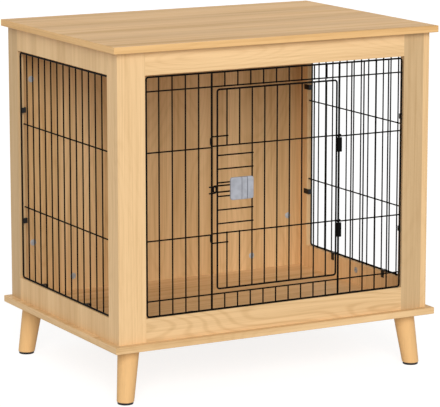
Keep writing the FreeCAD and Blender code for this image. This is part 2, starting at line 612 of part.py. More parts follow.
door_wires = loop(DOOR_LEFT, DOOR_LOW, DOOR_RIGHT, DOOR_HIGH, DOOR_LOOP_Y)
for number in range(int(sheet.door_uprights)):
    x = plus(DOOR_FIRST, f"{number} * {DOOR_PITCH}")
    if number < 2:
        door_wires.append(upright(x, DOOR_UPRIGHT_Y, DOOR_LOW, plus(DOOR_ROW_LOW, TAIL)))
        door_wires.append(upright(x, DOOR_UPRIGHT_Y, less(DOOR_ROW_HIGH, TAIL), DOOR_HIGH))
    else:
        door_wires.append(upright(x, DOOR_UPRIGHT_Y, DOOR_LOW, DOOR_HIGH))
door_wires += door_row(DOOR_ROW_LOW, "-z")
door_wires += door_row(DOOR_ROW_HIGH, "+z")
for number in range(int(sheet.rungs)):
    z = plus(LATCH_Z, f"({number} - ({S['rungs']} - 1) / 2) * {S['rung_pitch']}")
    door_wires.append(cross_wire(less(DOOR_LEFT, TAIL), plus(WINDOW_RIGHT, TAIL), DOOR_ROW_Y, z))
weld("door_grille", door_wires, FRONT_PANEL_AT)


def hinge_clip(panel_row):
    """Rolled sheet that grips the door's loop and turns on the right jamb wire."""
    low = less(panel_row, S["clip_drop"], S["clip_height"])
    height, sheet_thick = S["clip_height"], S["clip_sheet"]
    bore = plus(S["jamb_wire"], S["running_gap"], S["running_gap"])
    eye, grip = (JAMB_RIGHT, UPRIGHT_Y, low), (DOOR_RIGHT, DOOR_LOOP_Y, low)
    eye_dia = plus(bore, sheet_thick, sheet_thick)
    roll = (plus(JAMB_RIGHT, f"({eye_dia} + {S['clip_roll']}) / 2 - {sheet_thick} / 2"), UPRIGHT_Y, low)
    web = box("clip_web", (DOOR_RIGHT, less(UPRIGHT_Y, sheet_thick), low), S["hinge_offset"],
              f"2 * {sheet_thick}", height)
    solid = doc.addObject("Part::MultiFuse", "clip_solid")
    solid.Shapes = [prism("clip_eye", eye_dia, eye, height, "+z", PIN_FLATS),
                    prism("clip_grip", plus(S["frame_wire"], sheet_thick, sheet_thick), grip, height, "+z"),
                    prism("clip_roll", S["clip_roll"], roll, height, "+z"), web]
    bores = doc.addObject("Part::MultiFuse", "clip_bores")
    bores.Shapes = [prism("clip_eye_bore", bore, eye, height, "+z", PIN_FLATS),
                    prism("clip_grip_bore", S["frame_wire"], grip, height, "+z")]
    clip = doc.addObject("Part::Cut", "hinge_clip")
    clip.Base, clip.Tool = solid, bores
    return place(clip, FRONT_PANEL_AT)


group("hinge_clips", [hinge_clip(ROW_LOW), hinge_clip(ROW_HIGH)])

# ---------------------------------------------------------------- latch
HANDLE_LEFT = plus(DOOR_LEFT, S["handle_offset"])
HANDLE_BACK = less(DOOR_ROW_Y, f"{S['grid_wire']} / 2", S["slide_gap"])
SLIDER_FRONT = plus(DOOR_ROW_Y, f"{S['grid_wire']} / 2", S["slide_gap"])
BOLT_Y = plus(DOOR_LOOP_Y, f"({S['frame_wire']} + {S['bolt_wire']}) / 2", S["slide_gap"])
SLIDER_BACK = plus(BOLT_Y, f"{S['bolt_wire']} / 2", S["bolt_wall"])
SLIDER_LEFT = plus(HANDLE_LEFT, S["slider_inset"])
HALF_SLIDER = f"({S['rung_pitch']} / 2 + {S['grid_wire']} / 2 + {S['slider_overlap']})"
HALF_BOSS = f"({S['rung_pitch']} / 2 - {S['grid_wire']} / 2 - {S['slide_gap']})"
SCREW_PLACES = (f"({S['slider_width']} / 4)", f"({S['slider_width']} * 3 / 4)")


def on_front_panel(point):
    """A point of the front panel's frame as a point of the assembly."""
    return tuple(plus(term, origin) for term, origin in zip(point, FRONT_PANEL_AT))


def latch_handle():
    """Finger plate: a smooth flat, a raised ridge and a gripping edge, with a boss that passes between rungs."""
    corner_at = on_front_panel((HANDLE_LEFT, less(HANDLE_BACK, S["handle_thick"]),
                                less(LATCH_Z, f"{S['handle_height']} / 2")))
    body = board("latch_handle", corner_at, S["handle_width"], S["handle_thick"], S["handle_height"])
    doc.recompute()
    plate = body.Tip
    rounding = body.newObject("PartDesign::Fillet", "handle_corners")
    rounding.Base = (plate, [f"Edge{i}" for i, edge in enumerate(plate.Shape.Edges, start=1)
                             if abs(edge.tangentAt(edge.FirstParameter).y) > 0.9])
    rounding.setExpression("Radius", S["handle_corner"])
    body.Tip = rounding
    subtract_box(body, "handle_flat", ("-1", "-1", "-1"), plus(S["handle_flat"], "1"),
                 plus(S["handle_step"], "1"), plus(S["handle_height"], "2"))
    grip_left = plus(S["handle_flat"], S["handle_ridge"])
    subtract_box(body, "handle_grip", (grip_left, "-1", "-1"), S["handle_width"],
                 plus(f"{S['handle_step']} / 2", "1"), plus(S["handle_height"], "2"))
    boss = body.newObject("PartDesign::AdditiveBox", "handle_boss")
    boss.setExpression("Length", S["slider_width"])
    boss.setExpression("Width", less(SLIDER_FRONT, HANDLE_BACK))
    boss.setExpression("Height", f"2 * {HALF_BOSS}")
    place(boss, (S["slider_inset"], S["handle_thick"], less(f"{S['handle_height']} / 2", HALF_BOSS)))
    body.Tip = boss
    for x in SCREW_PLACES:
        start = on_front_panel((plus(SLIDER_LEFT, x), less(SLIDER_FRONT, S["latch_screw_in"]), LATCH_Z))
        drill(body, S["latch_screw_dia"], S["latch_screw_in"], start, "+y")


def latch_slider():
    """The block behind the rungs that holds the bolt's arms."""
    depth = less(SLIDER_BACK, SLIDER_FRONT)
    corner_at = on_front_panel((SLIDER_LEFT, SLIDER_FRONT, less(LATCH_Z, HALF_SLIDER)))
    body = board("latch_slider", corner_at, S["slider_width"], depth, f"2 * {HALF_SLIDER}")
    for side in ("-", "+"):
        start = on_front_panel((SLIDER_LEFT, BOLT_Y, f"{LATCH_Z} {side} {S['bolt_spacing']} / 2"))
        drill(body, S["bolt_wire"], S["bolt_in_slider"], start, "+x")
    for x in SCREW_PLACES:
        drill(body, S["latch_screw_dia"], depth, on_front_panel((plus(SLIDER_LEFT, x), SLIDER_FRONT, LATCH_Z)), "+y")


latch_handle()
latch_slider()
weld("latch_bolt",
     hairpin(S["bolt_wire"], plus(JAMB_LEFT, f"{S['jamb_wire']} / 2", S["bolt_end_gap"], f"{S['bolt_wire']} / 2"),
             S["bolt_spacing"], S["bolt_bend"], plus(SLIDER_LEFT, S["bolt_in_slider"]), BOLT_Y, LATCH_Z, "-x"),
     FRONT_PANEL_AT)
latch_screws = []
for x in SCREW_PLACES:
    tip = on_front_panel((plus(SLIDER_LEFT, x), less(SLIDER_FRONT, S["latch_screw_in"]), LATCH_Z))
    under_head = on_front_panel((plus(SLIDER_LEFT, x), SLIDER_BACK, LATCH_Z))
    screw = doc.addObject("Part::Fuse", "latch_screw")
    screw.Base = prism("latch_screw_shank", S["latch_screw_dia"], tip, less(under_head[1], tip[1]), "+y")
    screw.Tool = prism("latch_screw_head", S["latch_screw_head"], under_head, f"{S['latch_screw_dia']} / 2", "+y")
    latch_screws.append(screw)
group("latch_screws", latch_screws)

# ---------------------------------------------------------------- panel holders
HOLDER_BAYS = {"side": (2, 9), "front": (3, 16)}


def holder(board_body, at, inward, opening, thick, set_back, gap):
    """A bent clip on a board's inner face, with a peg in the board, that reaches over the edge and grips the loop.

    at is a point on the board's edge at its outer face. inward points through the board, and opening points
    from the board's edge into the opening.
    """
    across, up = WAY[inward], WAY[opening]
    sheet_thick, width = S["holder_sheet"], S["holder_width"]
    over = plus(gap, S["frame_wire"], S["holder_fit"])
    lip = less(set_back, f"{S['frame_wire']} / 2", S["holder_fit"], sheet_thick)
    lip_foot = plus(gap, f"{S['frame_wire']} / 3")
    edge = f"-{width} / 2"
    peg_height = f"-{S['holder_foot']} / 2"
    clip = doc.addObject("Part::MultiFuse", "panel_holder")
    clip.Shapes = [
        box("holder_foot", (thick, edge, f"-{S['holder_foot']}"), sheet_thick, width,
            plus(over, sheet_thick, S["holder_foot"])),
        box("holder_bridge", (lip, edge, over), less(thick, lip), width, sheet_thick),
        box("holder_lip", (lip, edge, lip_foot), sheet_thick, width, less(over, lip_foot)),
        prism("holder_peg", S["holder_peg_dia"], (less(thick, S["holder_peg_in"]), "0", peg_height),
              S["holder_peg_in"], "+x")]
    clip.Refine = True
    pilot = shifted(shifted(at, opposite(opening), f"{S['holder_foot']} / 2"), inward, less(thick, S["holder_peg_in"]))
    drill(board_body, S["holder_peg_dia"], S["holder_peg_in"], pilot, inward)
    return place(clip, at, Rotation(across, up.cross(across), up, "XYZ"))


panel_middle = plus(PANEL_FOOT, f"{PANEL_HEIGHT} / 2")
stile_rises = (less(panel_middle, S["holder_rise"]), plus(panel_middle, S["holder_rise"]))
rail_top = plus(FLOOR, S["bottom_rail"])
for side, outer, inward in (("left", f"-{HALF_WIDTH}", "+x"), ("right", HALF_WIDTH, "-x")):
    holders = []
    for end, y, opening in (("front", plus(FRONT, S["side_stile"]), "+y"), ("rear", less(BACK, S["side_stile"]), "-y")):
        for z in stile_rises:
            holders.append(holder(side_boards[side, end], (outer, y, z), inward, opening,
                                  S["side_thick"], S["side_set_back"], S["side_panel_gap"]))
    for bay in HOLDER_BAYS["side"]:
        along = plus(side_loop_in, S["side_short_bay"], f"({bay} + 0.5) * {SIDE_PITCH}")
        y = less(BACK, along) if side == "left" else plus(FRONT, along)
        holders.append(holder(side_boards[side, "bottom"], (outer, y, rail_top), inward, "+z",
                              S["side_thick"], S["side_set_back"], S["panel_gap_low"]))
    group(f"{side}_panel_holders", holders)
holders = []
for side, x, opening in (("left", f"-{FRONT_OPENING} / 2", "+x"), ("right", f"{FRONT_OPENING} / 2", "-x")):
    for z in stile_rises:
        holders.append(holder(front_boards[side], (x, FRONT, z), "+y", opening,
                              S["front_thick"], S["front_set_back"], S["front_panel_gap"]))
for bay in HOLDER_BAYS["front"]:
    x = plus(FRONT_PANEL_AT[0], f"({bay} + 0.5) * {FRONT_PITCH}")
    holders.append(holder(front_boards["bottom"], (x, FRONT, rail_top), "+y", "+z",
                          S["front_thick"], S["front_set_back"], S["panel_gap_low"]))
group("front_panel_holders", holders)

# ---------------------------------------------------------------- checks and files
doc.recompute()
for item in doc.Objects:
    if "Invalid" in item.State or "Error" in item.State:
        raise SystemExit(f"{item.Label} did not compute: {item.State}")
for item in sub_parts:
    if item.Shape.isNull() or not item.Shape.isValid() or not item.Shape.Solids:
        raise SystemExit(f"{item.Label} has no valid solid")
os.makedirs("parts", exist_ok=True)
for item in sub_parts:
    item.Shape.exportStep(f"parts/{item.Label}.step")
    print(f"{item.Label}: {len(item.Shape.Solids)} solid(s), {item.Shape.Volume / 1000:.1f} cm3")
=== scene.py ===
"""Looks of a dog crate end table: oak-look laminate boards, black wire panels, a grey latch and round legs.

The CAD frame gives every place and size. The wires, legs, glides, clips, cam locks and the latch are drawn
again as smooth surfaces worked out with numpy. Every board keeps its CAD shape and gets a laminate whose grain
runs along it.
"""
import math

import bpy
import numpy as np
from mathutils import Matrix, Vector


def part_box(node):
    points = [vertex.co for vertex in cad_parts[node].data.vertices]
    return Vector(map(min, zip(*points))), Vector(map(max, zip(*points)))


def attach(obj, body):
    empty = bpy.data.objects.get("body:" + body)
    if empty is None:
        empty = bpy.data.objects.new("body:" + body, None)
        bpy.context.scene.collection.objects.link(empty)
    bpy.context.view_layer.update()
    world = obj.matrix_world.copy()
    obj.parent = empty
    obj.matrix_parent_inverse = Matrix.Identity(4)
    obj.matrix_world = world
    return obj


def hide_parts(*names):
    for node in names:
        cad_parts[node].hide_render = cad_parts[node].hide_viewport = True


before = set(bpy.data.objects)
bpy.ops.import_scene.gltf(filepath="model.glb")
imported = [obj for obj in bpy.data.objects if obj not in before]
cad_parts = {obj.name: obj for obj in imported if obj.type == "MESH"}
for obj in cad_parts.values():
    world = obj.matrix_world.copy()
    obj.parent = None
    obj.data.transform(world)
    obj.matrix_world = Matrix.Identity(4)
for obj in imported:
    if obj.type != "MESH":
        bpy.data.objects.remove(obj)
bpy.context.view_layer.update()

bl_info = {
    "name": "Crate End Table Looks",
    "version": (1, 0, 0),
    "blender": (4, 5, 0),
    "location": "3D View > Sidebar > Crate Table",
    "description": "Dresses the frame of a dog crate end table",
    "category": "Object",
}

MM = 0.001


# ---------------------------------------------------------------- sizes and colours

def size_property(label, note, millimetres):
    return bpy.props.FloatProperty(name=label, description=note, default=millimetres * MM, min=0, unit="LENGTH")


def count_property(label, note, number):
    return bpy.props.IntProperty(name=label, description=note, default=number)


def colour_property(label, note, shade):
    return bpy.props.FloatVectorProperty(name=label, description=note, default=shade, size=3, min=0, max=1,
                                         subtype="COLOR")


class CrateWireSizes(bpy.types.PropertyGroup):
    """Sizes of the wires and how they are spaced."""
    frame_wire: size_property("Frame wire", "Wire of the outer loops", 4.0)
    grid_wire: size_property("Grid wire", "Wire of the uprights and rows", 3.2)
    jamb_wire: size_property("Jamb wire", "Uprights beside the doorway", 4.5)
    bolt_wire: size_property("Bolt wire", "Wire of the latch bolt", 3.5)
    loop_bend: size_property("Loop bend", "Corner radius of the outer loops", 5.5)
    row_edge: size_property("Outer rows", "Front panel's outer rows from its loop", 32.0)
    row_mid: size_property("Inner rows", "Inner rows from the loop, every panel", 164.0)
    short_bay: size_property("Short bay", "Narrow bay at one end of a side panel", 25.5)
    pitch: size_property("Pitch", "Spacing of a side panel's uprights", 32.0)
    side_uprights: count_property("Side uprights", "Uprights in a side panel", 13)
    front_bays: count_property("Front bays", "Bays across the front panel", 20)
    door_bays: count_property("Bays beside door", "Bays from panel edge to jamb", 5)
    door_first_bay: size_property("Door's first bay", "On the latch side", 23.5)
    door_last_bay: size_property("Door's last bay", "On the hinge side", 26.5)
    door_uprights: count_property("Door uprights", "Uprights in the door", 9)
    row_lift: bpy.props.FloatProperty(name="Door row lift", description="Door's rows above the panel's",
                                      default=3.75 * MM, unit="LENGTH")
    rung_pitch: size_property("Rung pitch", "Spacing of the short rungs beside the latch", 30.0)
    rungs: count_property("Rungs", "Short rungs beside the latch", 6)
    stop_height: size_property("Stop height", "Door stop loops", 21.0)
    stop_reach: size_property("Stop reach", "Door stops past the jamb wire", 5.0)
    stop_bend: size_property("Stop bend", "Corner radius of the door stops", 6.0)
    hairpin_bend: size_property("Hairpin bend", "Corners of the keeper and the bolt", 4.0)
    arm_spacing: size_property("Arm spacing", "Arms of the keeper and the bolt", 14.0)
    keeper_left: size_property("Keeper left", "Keeper's arms past the jamb", 9.0)
    keeper_right: size_property("Keeper right", "Keeper's bend past the jamb", 8.8)
    running_gap: size_property("Running gap", "Round the hinge wire", 0.08)

    @property
    def upright_depth(self):
        """From the middle of a loop's wire inwards to the uprights'."""
        return (self.frame_wire + self.grid_wire) / 2

    @property
    def row_depth(self):
        return self.upright_depth + self.grid_wire

    @property
    def tail(self):
        """How far a wire runs past the middle of the wire that it is welded to."""
        return self.frame_wire * 0.35

    @property
    def bead(self):
        """A weld's radius."""
        return self.grid_wire * 0.52

    @property
    def eye(self):
        """From the middle of the hinge wire to the middle of the wire that rolls round it."""
        return (self.jamb_wire + self.grid_wire) / 2 + self.running_gap


class CrateLegSizes(bpy.types.PropertyGroup):
    """Sizes of the legs and glides."""
    foot_dia: size_property("Foot", "Leg at its glide", 38.0)
    top_dia: size_property("Top", "Leg at the base board", 48.0)
    glide_dia: size_property("Glide", "Glide under the leg", 35.0)
    arris: size_property("Arris", "Rounding at the leg's foot", 1.5)
    glide_arris: size_property("Glide's arris", "Rounding at the glide's foot", 1.2)


class CrateColours(bpy.types.PropertyGroup):
    """Colours of the finishes."""
    laminate: colour_property("Laminate", "Oak-look laminate between its streaks", (0.86, 0.59, 0.315))
    streak: colour_property("Streaks", "Darker grain of the laminate", (0.56, 0.335, 0.14))
    leg_wood: colour_property("Leg wood", "Solid wood of the legs", (0.80, 0.49, 0.215))
    wire: colour_property("Wire", "Black coating of the wires", (0.002, 0.0018, 0.0016))
    latch: colour_property("Latch", "Grey plastic of the latch", (0.40, 0.41, 0.45))
    cam: colour_property("Cam locks", "Grey casting of the cam locks", (0.50, 0.53, 0.56))


# ---------------------------------------------------------------- surfaces

def grid_faces(rings, around):
    """Quads between rings of equal length: ring r's point k meets the same point and the next on ring r + 1."""
    r, k = np.meshgrid(np.arange(rings - 1), np.arange(around), indexing="ij")
    r, k = r.ravel() * around, k.ravel()
    after = (k + 1) % around
    return np.stack([r + k, r + after, r + around + after, r + around + k], 1)


def closed_surface(rings):
    """Points and faces of a stack of rings, an array of (rings, around, 3), with an end face on each end."""
    count, around = rings.shape[:2]
    faces = grid_faces(count, around).tolist()
    faces.append(list(range(around - 1, -1, -1)))
    faces.append(list(range((count - 1) * around, count * around)))
    return rings.reshape(-1, 3), faces


def torus_surface(rings):
    """Points and faces of rings whose last one joins the first."""
    count, around = rings.shape[:2]
    return rings.reshape(-1, 3), (grid_faces(count + 1, around) % (count * around)).tolist()


def joined(surfaces):
    """Several surfaces as one list of points and one list of faces."""
    points, faces, first = [], [], 0
    for part_points, part_faces in surfaces:
        points.append(part_points)
        faces += [[first + index for index in face] for face in part_faces]
        first += len(part_points)
    return np.concatenate(points), faces


def circle(around):
    """Points on a flat circle of radius one."""
    turn = np.arange(around) * 2 * math.pi / around
    return np.stack([np.cos(turn), np.sin(turn)], -1)


def quarter(steps=5):
    """How far in and how far along a quarter round goes, for a radius of one: from fully in to flush."""
    turn = np.radians(np.linspace(0, 90, steps))
    return 1 - np.sin(turn), 1 - np.cos(turn)


def level_rings(centres, radii, around):
    """Level circles of the given radii about the given centres."""
    ring = np.column_stack([circle(around), np.zeros(around)])
    return closed_surface(np.asarray(centres)[:, None] + radii[:, None, None] * ring)


# the rings at a wire's rounded end: how far in from the end each stands, and its size, both in wire radii
WIRE_END = np.array(((0, 0.72), (0.12, 0.90237), (0.27545, 1)))


def sweep(path, square_to, radius, sides=14, closed=False):
    """A round wire: a circle carried along a path that lies in one plane. Each ring stands across the path's
    own direction, which is the average of the steps before and after it."""
    path, square_to = np.asarray(path, float), np.asarray(square_to, float)
    along = np.roll(path, -1, 0) - np.roll(path, 1, 0) if closed else np.gradient(path, axis=0)
    along /= np.linalg.norm(along, axis=1)[:, None]
    size = np.ones(len(path))
    if not closed:
        inset, small = WIRE_END[:, :1] * radius, WIRE_END[:, 1]
        path = np.concatenate([path[0] + along[0] * inset, path[1:-1], path[-1] - along[-1] * inset[::-1]])
        along = np.concatenate([along[[0, 0, 0]], along[1:-1], along[[-1, -1, -1]]])
        size = np.concatenate([small, size[1:-1], small[::-1]])
    across = np.cross(square_to, along)[:, None]
    ring = circle(sides)
    rings = path[:, None] + size[:, None, None] * radius * (ring[:, :1] * across + ring[:, 1:] * square_to)
    return torus_surface(rings) if closed else closed_surface(rings)


def arc(centre, radius, begin, end, flat=(0, 2), steps=7):
    """Points on a circle from one angle to another, in degrees, in the plane of two axes."""
    angle = np.radians(np.linspace(begin, end, steps))
    points = np.tile(np.asarray(centre, float), (steps, 1))
    points[:, flat[0]] += radius * np.cos(angle)
    points[:, flat[1]] += radius * np.sin(angle)
    return points


def rounded_rectangle(width, height, corner, around):
    """Points round a rectangle with round corners, shared evenly over its corners' arcs and its sides, in the
    order that makes a stack of rings towards +Y face outwards."""
    half_w, half_h = width / 2 - corner, height / 2 - corner
    on_arc = around // 8
    share = np.linspace(0, 1, around // 4 - on_arc + 2)[1:-1, None]
    centres, bends = ((half_w, half_h), (-half_w, half_h), (-half_w, -half_h), (half_w, -half_h)), []
    for number, centre in enumerate(centres):
        angle = np.radians(90 * number + np.linspace(0, 90, on_arc))
        bends.append(np.array(centre) + corner * np.stack([np.cos(angle), np.sin(angle)], -1))
    sides = [bend[-1] * (1 - share) + after[0] * share for bend, after in zip(bends, bends[1:] + bends[:1])]
    return np.concatenate([points for pair in zip(bends, sides) for points in pair])[::-1]


def cross_disc(middle, facing, radius, depth, rings=20, around=64):
    """A round head with a cross recess, on a polar grid: the face turns down at its rim by the twelfth power of
    the distance out, has a shallow ring groove at 0.8 of its radius, and a cross cut where the smaller of its
    two flat coordinates is under a seventh of the radius, out to 0.62."""
    facing, first = np.array(facing, float), np.array((0.0, 0.0, 1.0))
    second = np.cross(facing, first)
    share = np.linspace(0.02, 1, rings)[:, None]
    flat = share[..., None] * circle(around)
    cross = (np.abs(flat).min(axis=-1) < 0.14) & (share < 0.62)
    sunk = np.where(cross, 0.22, 0) + 0.05 * np.exp(-((share - 0.8) / 0.05) ** 2) + 0.08 * share ** 12
    height = np.concatenate([depth / 2 - sunk * radius, np.full((1, around), -depth / 2)])
    flat = np.concatenate([flat, flat[-1:]]) * radius
    surface = middle + flat[..., :1] * first + flat[..., 1:] * second + height[..., None] * facing
    return closed_surface(surface[:, ::-1])


def mesh_piece(name, surface, material, body, *replaced, smooth=math.radians(40)):
    """A mesh object from points and faces, riding on a body in place of the CAD nodes that it replaces."""
    points, faces = surface
    mesh = bpy.data.meshes.new(name)
    mesh.from_pydata(np.asarray(points).tolist(), [], faces)
    mesh.validate()
    mesh.polygons.foreach_set("use_smooth", np.ones(len(mesh.polygons), bool))
    mesh.set_sharp_from_angle(angle=smooth)
    mesh.materials.append(material)
    piece = bpy.data.objects.new(name, mesh)
    bpy.context.scene.collection.objects.link(piece)
    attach(piece, body)
    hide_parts(*replaced)


# ---------------------------------------------------------------- shader parts

def new_group(name, inputs, outputs):
    """An empty node group with named sockets, each input (name, kind, default) and each output (name, kind)."""
    group = bpy.data.node_groups.new(name, "ShaderNodeTree")
    for socket_name, kind, default in inputs:
        socket = group.interface.new_socket(socket_name, in_out="INPUT", socket_type=f"NodeSocket{kind}")
        if default is not None:
            socket.default_value = default
    for socket_name, kind in outputs:
        group.interface.new_socket(socket_name, in_out="OUTPUT", socket_type=f"NodeSocket{kind}")
    return group, group.nodes.new("NodeGroupInput"), group.nodes.new("NodeGroupOutput")


FINISH_OUTPUTS = (("Color", "Color"), ("Height", "Float"), ("Roughness", "Float"))


def feed(tree, value, socket):
    """Link an output to a socket, or set the socket to a plain value."""
    if isinstance(value, bpy.types.NodeSocket):
        tree.links.new(value, socket)
    else:
        socket.default_value = value


def calc(tree, operation, *values):
    """A Math node on numbers or sockets."""
    node = tree.nodes.new("ShaderNodeMath")
    node.operation = operation
    for socket, value in zip(node.inputs, values):
        feed(tree, value, socket)
    return node.outputs[0]


def noise(tree, vector, scale, detail, roughness=0.5):
    node = tree.nodes.new("ShaderNodeTexNoise")
    for socket, value in (("Vector", vector), ("Scale", scale), ("Detail", detail), ("Roughness", roughness)):
        feed(tree, value, node.inputs[socket])
    return node.outputs["Fac"]


def mapped(tree, vector, **values):
    """A Mapping node: Scale, Rotation or Location by name."""
    node = tree.nodes.new("ShaderNodeMapping")
    for socket, value in {"Vector": vector, **values}.items():
        feed(tree, value, node.inputs[socket])
    return node.outputs["Vector"]


def between(tree, value, low, high):
    """Zero below low, one above high, and a smooth rise between."""
    node = tree.nodes.new("ShaderNodeMapRange")
    node.interpolation_type = "SMOOTHSTEP"
    for socket, given in (("From Min", low), ("From Max", high), ("Value", value)):
        feed(tree, given, node.inputs[socket])
    return node.outputs["Result"]


def blend(tree, factor, first, second, kind="RGBA"):
    """The first value where the factor is zero and the second where it is one."""
    node = tree.nodes.new("ShaderNodeMix")
    node.data_type = kind
    for socket, value in (("Factor", factor), ("A", first), ("B", second)):
        feed(tree, value, node.inputs[socket])
    return node.outputs["Result"]


def object_coordinates(tree):
    return tree.nodes.new("ShaderNodeTexCoord").outputs["Object"]


def seen_directly(tree):
    """One for rays from the camera, or that a mirror or glass sends on, and zero for light that bounces."""
    path = tree.nodes.new("ShaderNodeLightPath")
    shown = calc(tree, "MAXIMUM", path.outputs["Is Camera Ray"], path.outputs["Is Glossy Ray"])
    return calc(tree, "MAXIMUM", shown, path.outputs["Is Transmission Ray"])


def by_sight(tree, bounced, seen):
    """One value for light that bounces and another for what is seen directly."""
    return calc(tree, "ADD", bounced, calc(tree, "MULTIPLY", seen_directly(tree), seen - bounced))


def wood_grain_group():
    """Straight oak grain along local X: broad tone bands, streaks, fine lines and short pores, all of them
    noise that is stretched along the grain, and bands that a slow noise bends into long flat arches. The
    amounts of the five add up to how far the colour goes from the ground to the streak colour."""
    group, given, made = new_group(
        "straight_oak_grain",
        [("Vector", "Vector", None), ("Ground", "Color", (0.8, 0.6, 0.35, 1)),
         ("Streak", "Color", (0.6, 0.4, 0.2, 1)), ("Bands", "Float", 0.3), ("Streaks", "Float", 0.3),
         ("Lines", "Float", 0.25), ("Arches", "Float", 0.1)], FINISH_OUTPUTS)

    def stretched(scale, detail, roughness=0.5):
        return noise(group, mapped(group, given.outputs["Vector"], Scale=scale), 1.0, detail, roughness)

    rings = calc(group, "FRACT", calc(group, "MULTIPLY", stretched((1.7, 9, 9), 1), 26.0))
    ripple = calc(group, "MULTIPLY", calc(group, "PINGPONG", rings, 0.5), 2.0)
    patterns = {"Bands": between(group, stretched((0.6, 12, 12), 2), 0.36, 0.62),
                "Streaks": between(group, stretched((1.6, 80, 80), 3, 0.6), 0.44, 0.66),
                "Lines": between(group, stretched((4, 300, 300), 3, 0.6), 0.45, 0.68),
                "Arches": between(group, ripple, 0.45, 0.95)}
    pores = between(group, stretched((30, 900, 900), 2), 0.62, 0.72)
    amount = calc(group, "MULTIPLY", pores, 0.15)
    for socket, pattern in patterns.items():
        amount = calc(group, "ADD", amount, calc(group, "MULTIPLY", pattern, given.outputs[socket]))
    amount = calc(group, "MINIMUM", amount, 1.0)
    sunk = calc(group, "ADD", calc(group, "MULTIPLY", pores, 0.7),
                calc(group, "MULTIPLY", patterns["Lines"], 0.3))
    feed(group, blend(group, amount, given.outputs["Ground"], given.outputs["Streak"]), made.inputs["Color"])
    feed(group, calc(group, "SUBTRACT", 1.0, sunk), made.inputs["Height"])
    feed(group, calc(group, "ADD", 0.44, calc(group, "MULTIPLY", patterns["Streaks"], 0.12)),
         made.inputs["Roughness"])
    return group


def fine_texture_group():
    """Fine moulded or coated skin: an even speckle, and a slow drift of tone."""
    group, given, made = new_group(
        "fine_skin",
        [("Vector", "Vector", None), ("Tint", "Color", (0.5, 0.5, 0.5, 1)),
         ("Shade", "Color", (0.4, 0.4, 0.4, 1)), ("Speckle", "Float", 1500.0), ("Gloss", "Float", 0.4)],
        FINISH_OUTPUTS)
    drift = between(group, noise(group, given.outputs["Vector"], 60, 3), 0.35, 0.65)
    speckle = noise(group, given.outputs["Vector"], given.outputs["Speckle"], 2)
    feed(group, blend(group, drift, given.outputs["Tint"], given.outputs["Shade"]), made.inputs["Color"])
    feed(group, speckle, made.inputs["Height"])
    feed(group, calc(group, "ADD", given.outputs["Gloss"], calc(group, "MULTIPLY", speckle, 0.12)),
         made.inputs["Roughness"])
    return group


def once(library, name, build):
    """A node group or a material by name, built the first time that it is asked for."""
    return library.get(name) or build()


def finish_material(name, group, values, bump, turn=(0, 0, 0), shift=(0, 0, 0), metallic=0.0, specular=0.5):
    """A Principled material whose colour, roughness and bump come from one of the groups; bump is the relief's
    strength and its distance in metres."""
    material = bpy.data.materials.new(name)
    material.use_nodes = True
    tree = material.node_tree
    pattern = tree.nodes.new("ShaderNodeGroup")
    pattern.node_tree = group
    place = mapped(tree, object_coordinates(tree), Rotation=turn, Location=shift)
    for socket, value in {"Vector": place, **values}.items():
        feed(tree, value, pattern.inputs[socket])
    relief = tree.nodes.new("ShaderNodeBump")
    for socket, value in (("Strength", bump[0]), ("Distance", bump[1]), ("Height", pattern.outputs["Height"])):
        feed(tree, value, relief.inputs[socket])
    shader = tree.nodes["Principled BSDF"]
    for socket, value in (("Metallic", metallic), ("Specular IOR Level", specular),
                          ("Base Color", pattern.outputs["Color"]), ("Roughness", pattern.outputs["Roughness"]),
                          ("Normal", relief.outputs["Normal"])):
        feed(tree, value, shader.inputs[socket])
    return material


def solid(colour, factor=1.0):
    """A colour with an alpha, darkened or tinted by a number or by three."""
    return tuple(np.array(colour) * factor) + (1.0,)


def wood(name, ground, streak, along, amounts, shift=(0, 0, 0)):
    """Wood whose grain runs along one of the axes; shift keeps neighbouring boards from sharing a pattern."""
    turn = {"x": (0, 0, 0), "z": (0, math.pi / 2, 0)}[along]
    values = {"Ground": ground, "Streak": streak, **dict(zip(("Bands", "Streaks", "Lines", "Arches"), amounts))}
    return finish_material(name, once(bpy.data.node_groups, "straight_oak_grain", wood_grain_group), values,
                           bump=(0.12, 0.0003), turn=turn, shift=shift, specular=0.10)


def coated(name, tint, gloss, speckle, bump, metallic=0.0, specular=0.5):
    """Moulded plastic, coating or metal with a fine skin; gloss is its roughness where the speckle is dark."""
    values = {"Tint": solid(tint), "Shade": solid(tint, 0.82), "Speckle": speckle, "Gloss": gloss}
    return finish_material(name, once(bpy.data.node_groups, "fine_skin", fine_texture_group), values,
                           bump=(bump, 0.0002), metallic=metallic, specular=specular)


def wire_coat():
    colour = bpy.context.scene.crate_colours.wire
    return once(bpy.data.materials, "black_wire_coat",
                lambda: coated("black_wire_coat", colour, 0.5, 900.0, 0.10, specular=0.05))


def plain_steel():
    return once(bpy.data.materials, "plain_steel",
                lambda: coated("plain_steel", (0.55, 0.55, 0.56), 0.3, 1200.0, 0.05, metallic=1.0))


def dress(node, material):
    """Give a CAD node's own object a material."""
    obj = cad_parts[node]
    if not obj.material_slots:
        obj.data.materials.append(None)
    for slot in obj.material_slots:
        slot.link = "OBJECT"
        slot.material = material


# ---------------------------------------------------------------- places taken from the frame

def corners(node):
    low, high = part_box(node)
    return np.array(low), np.array(high)


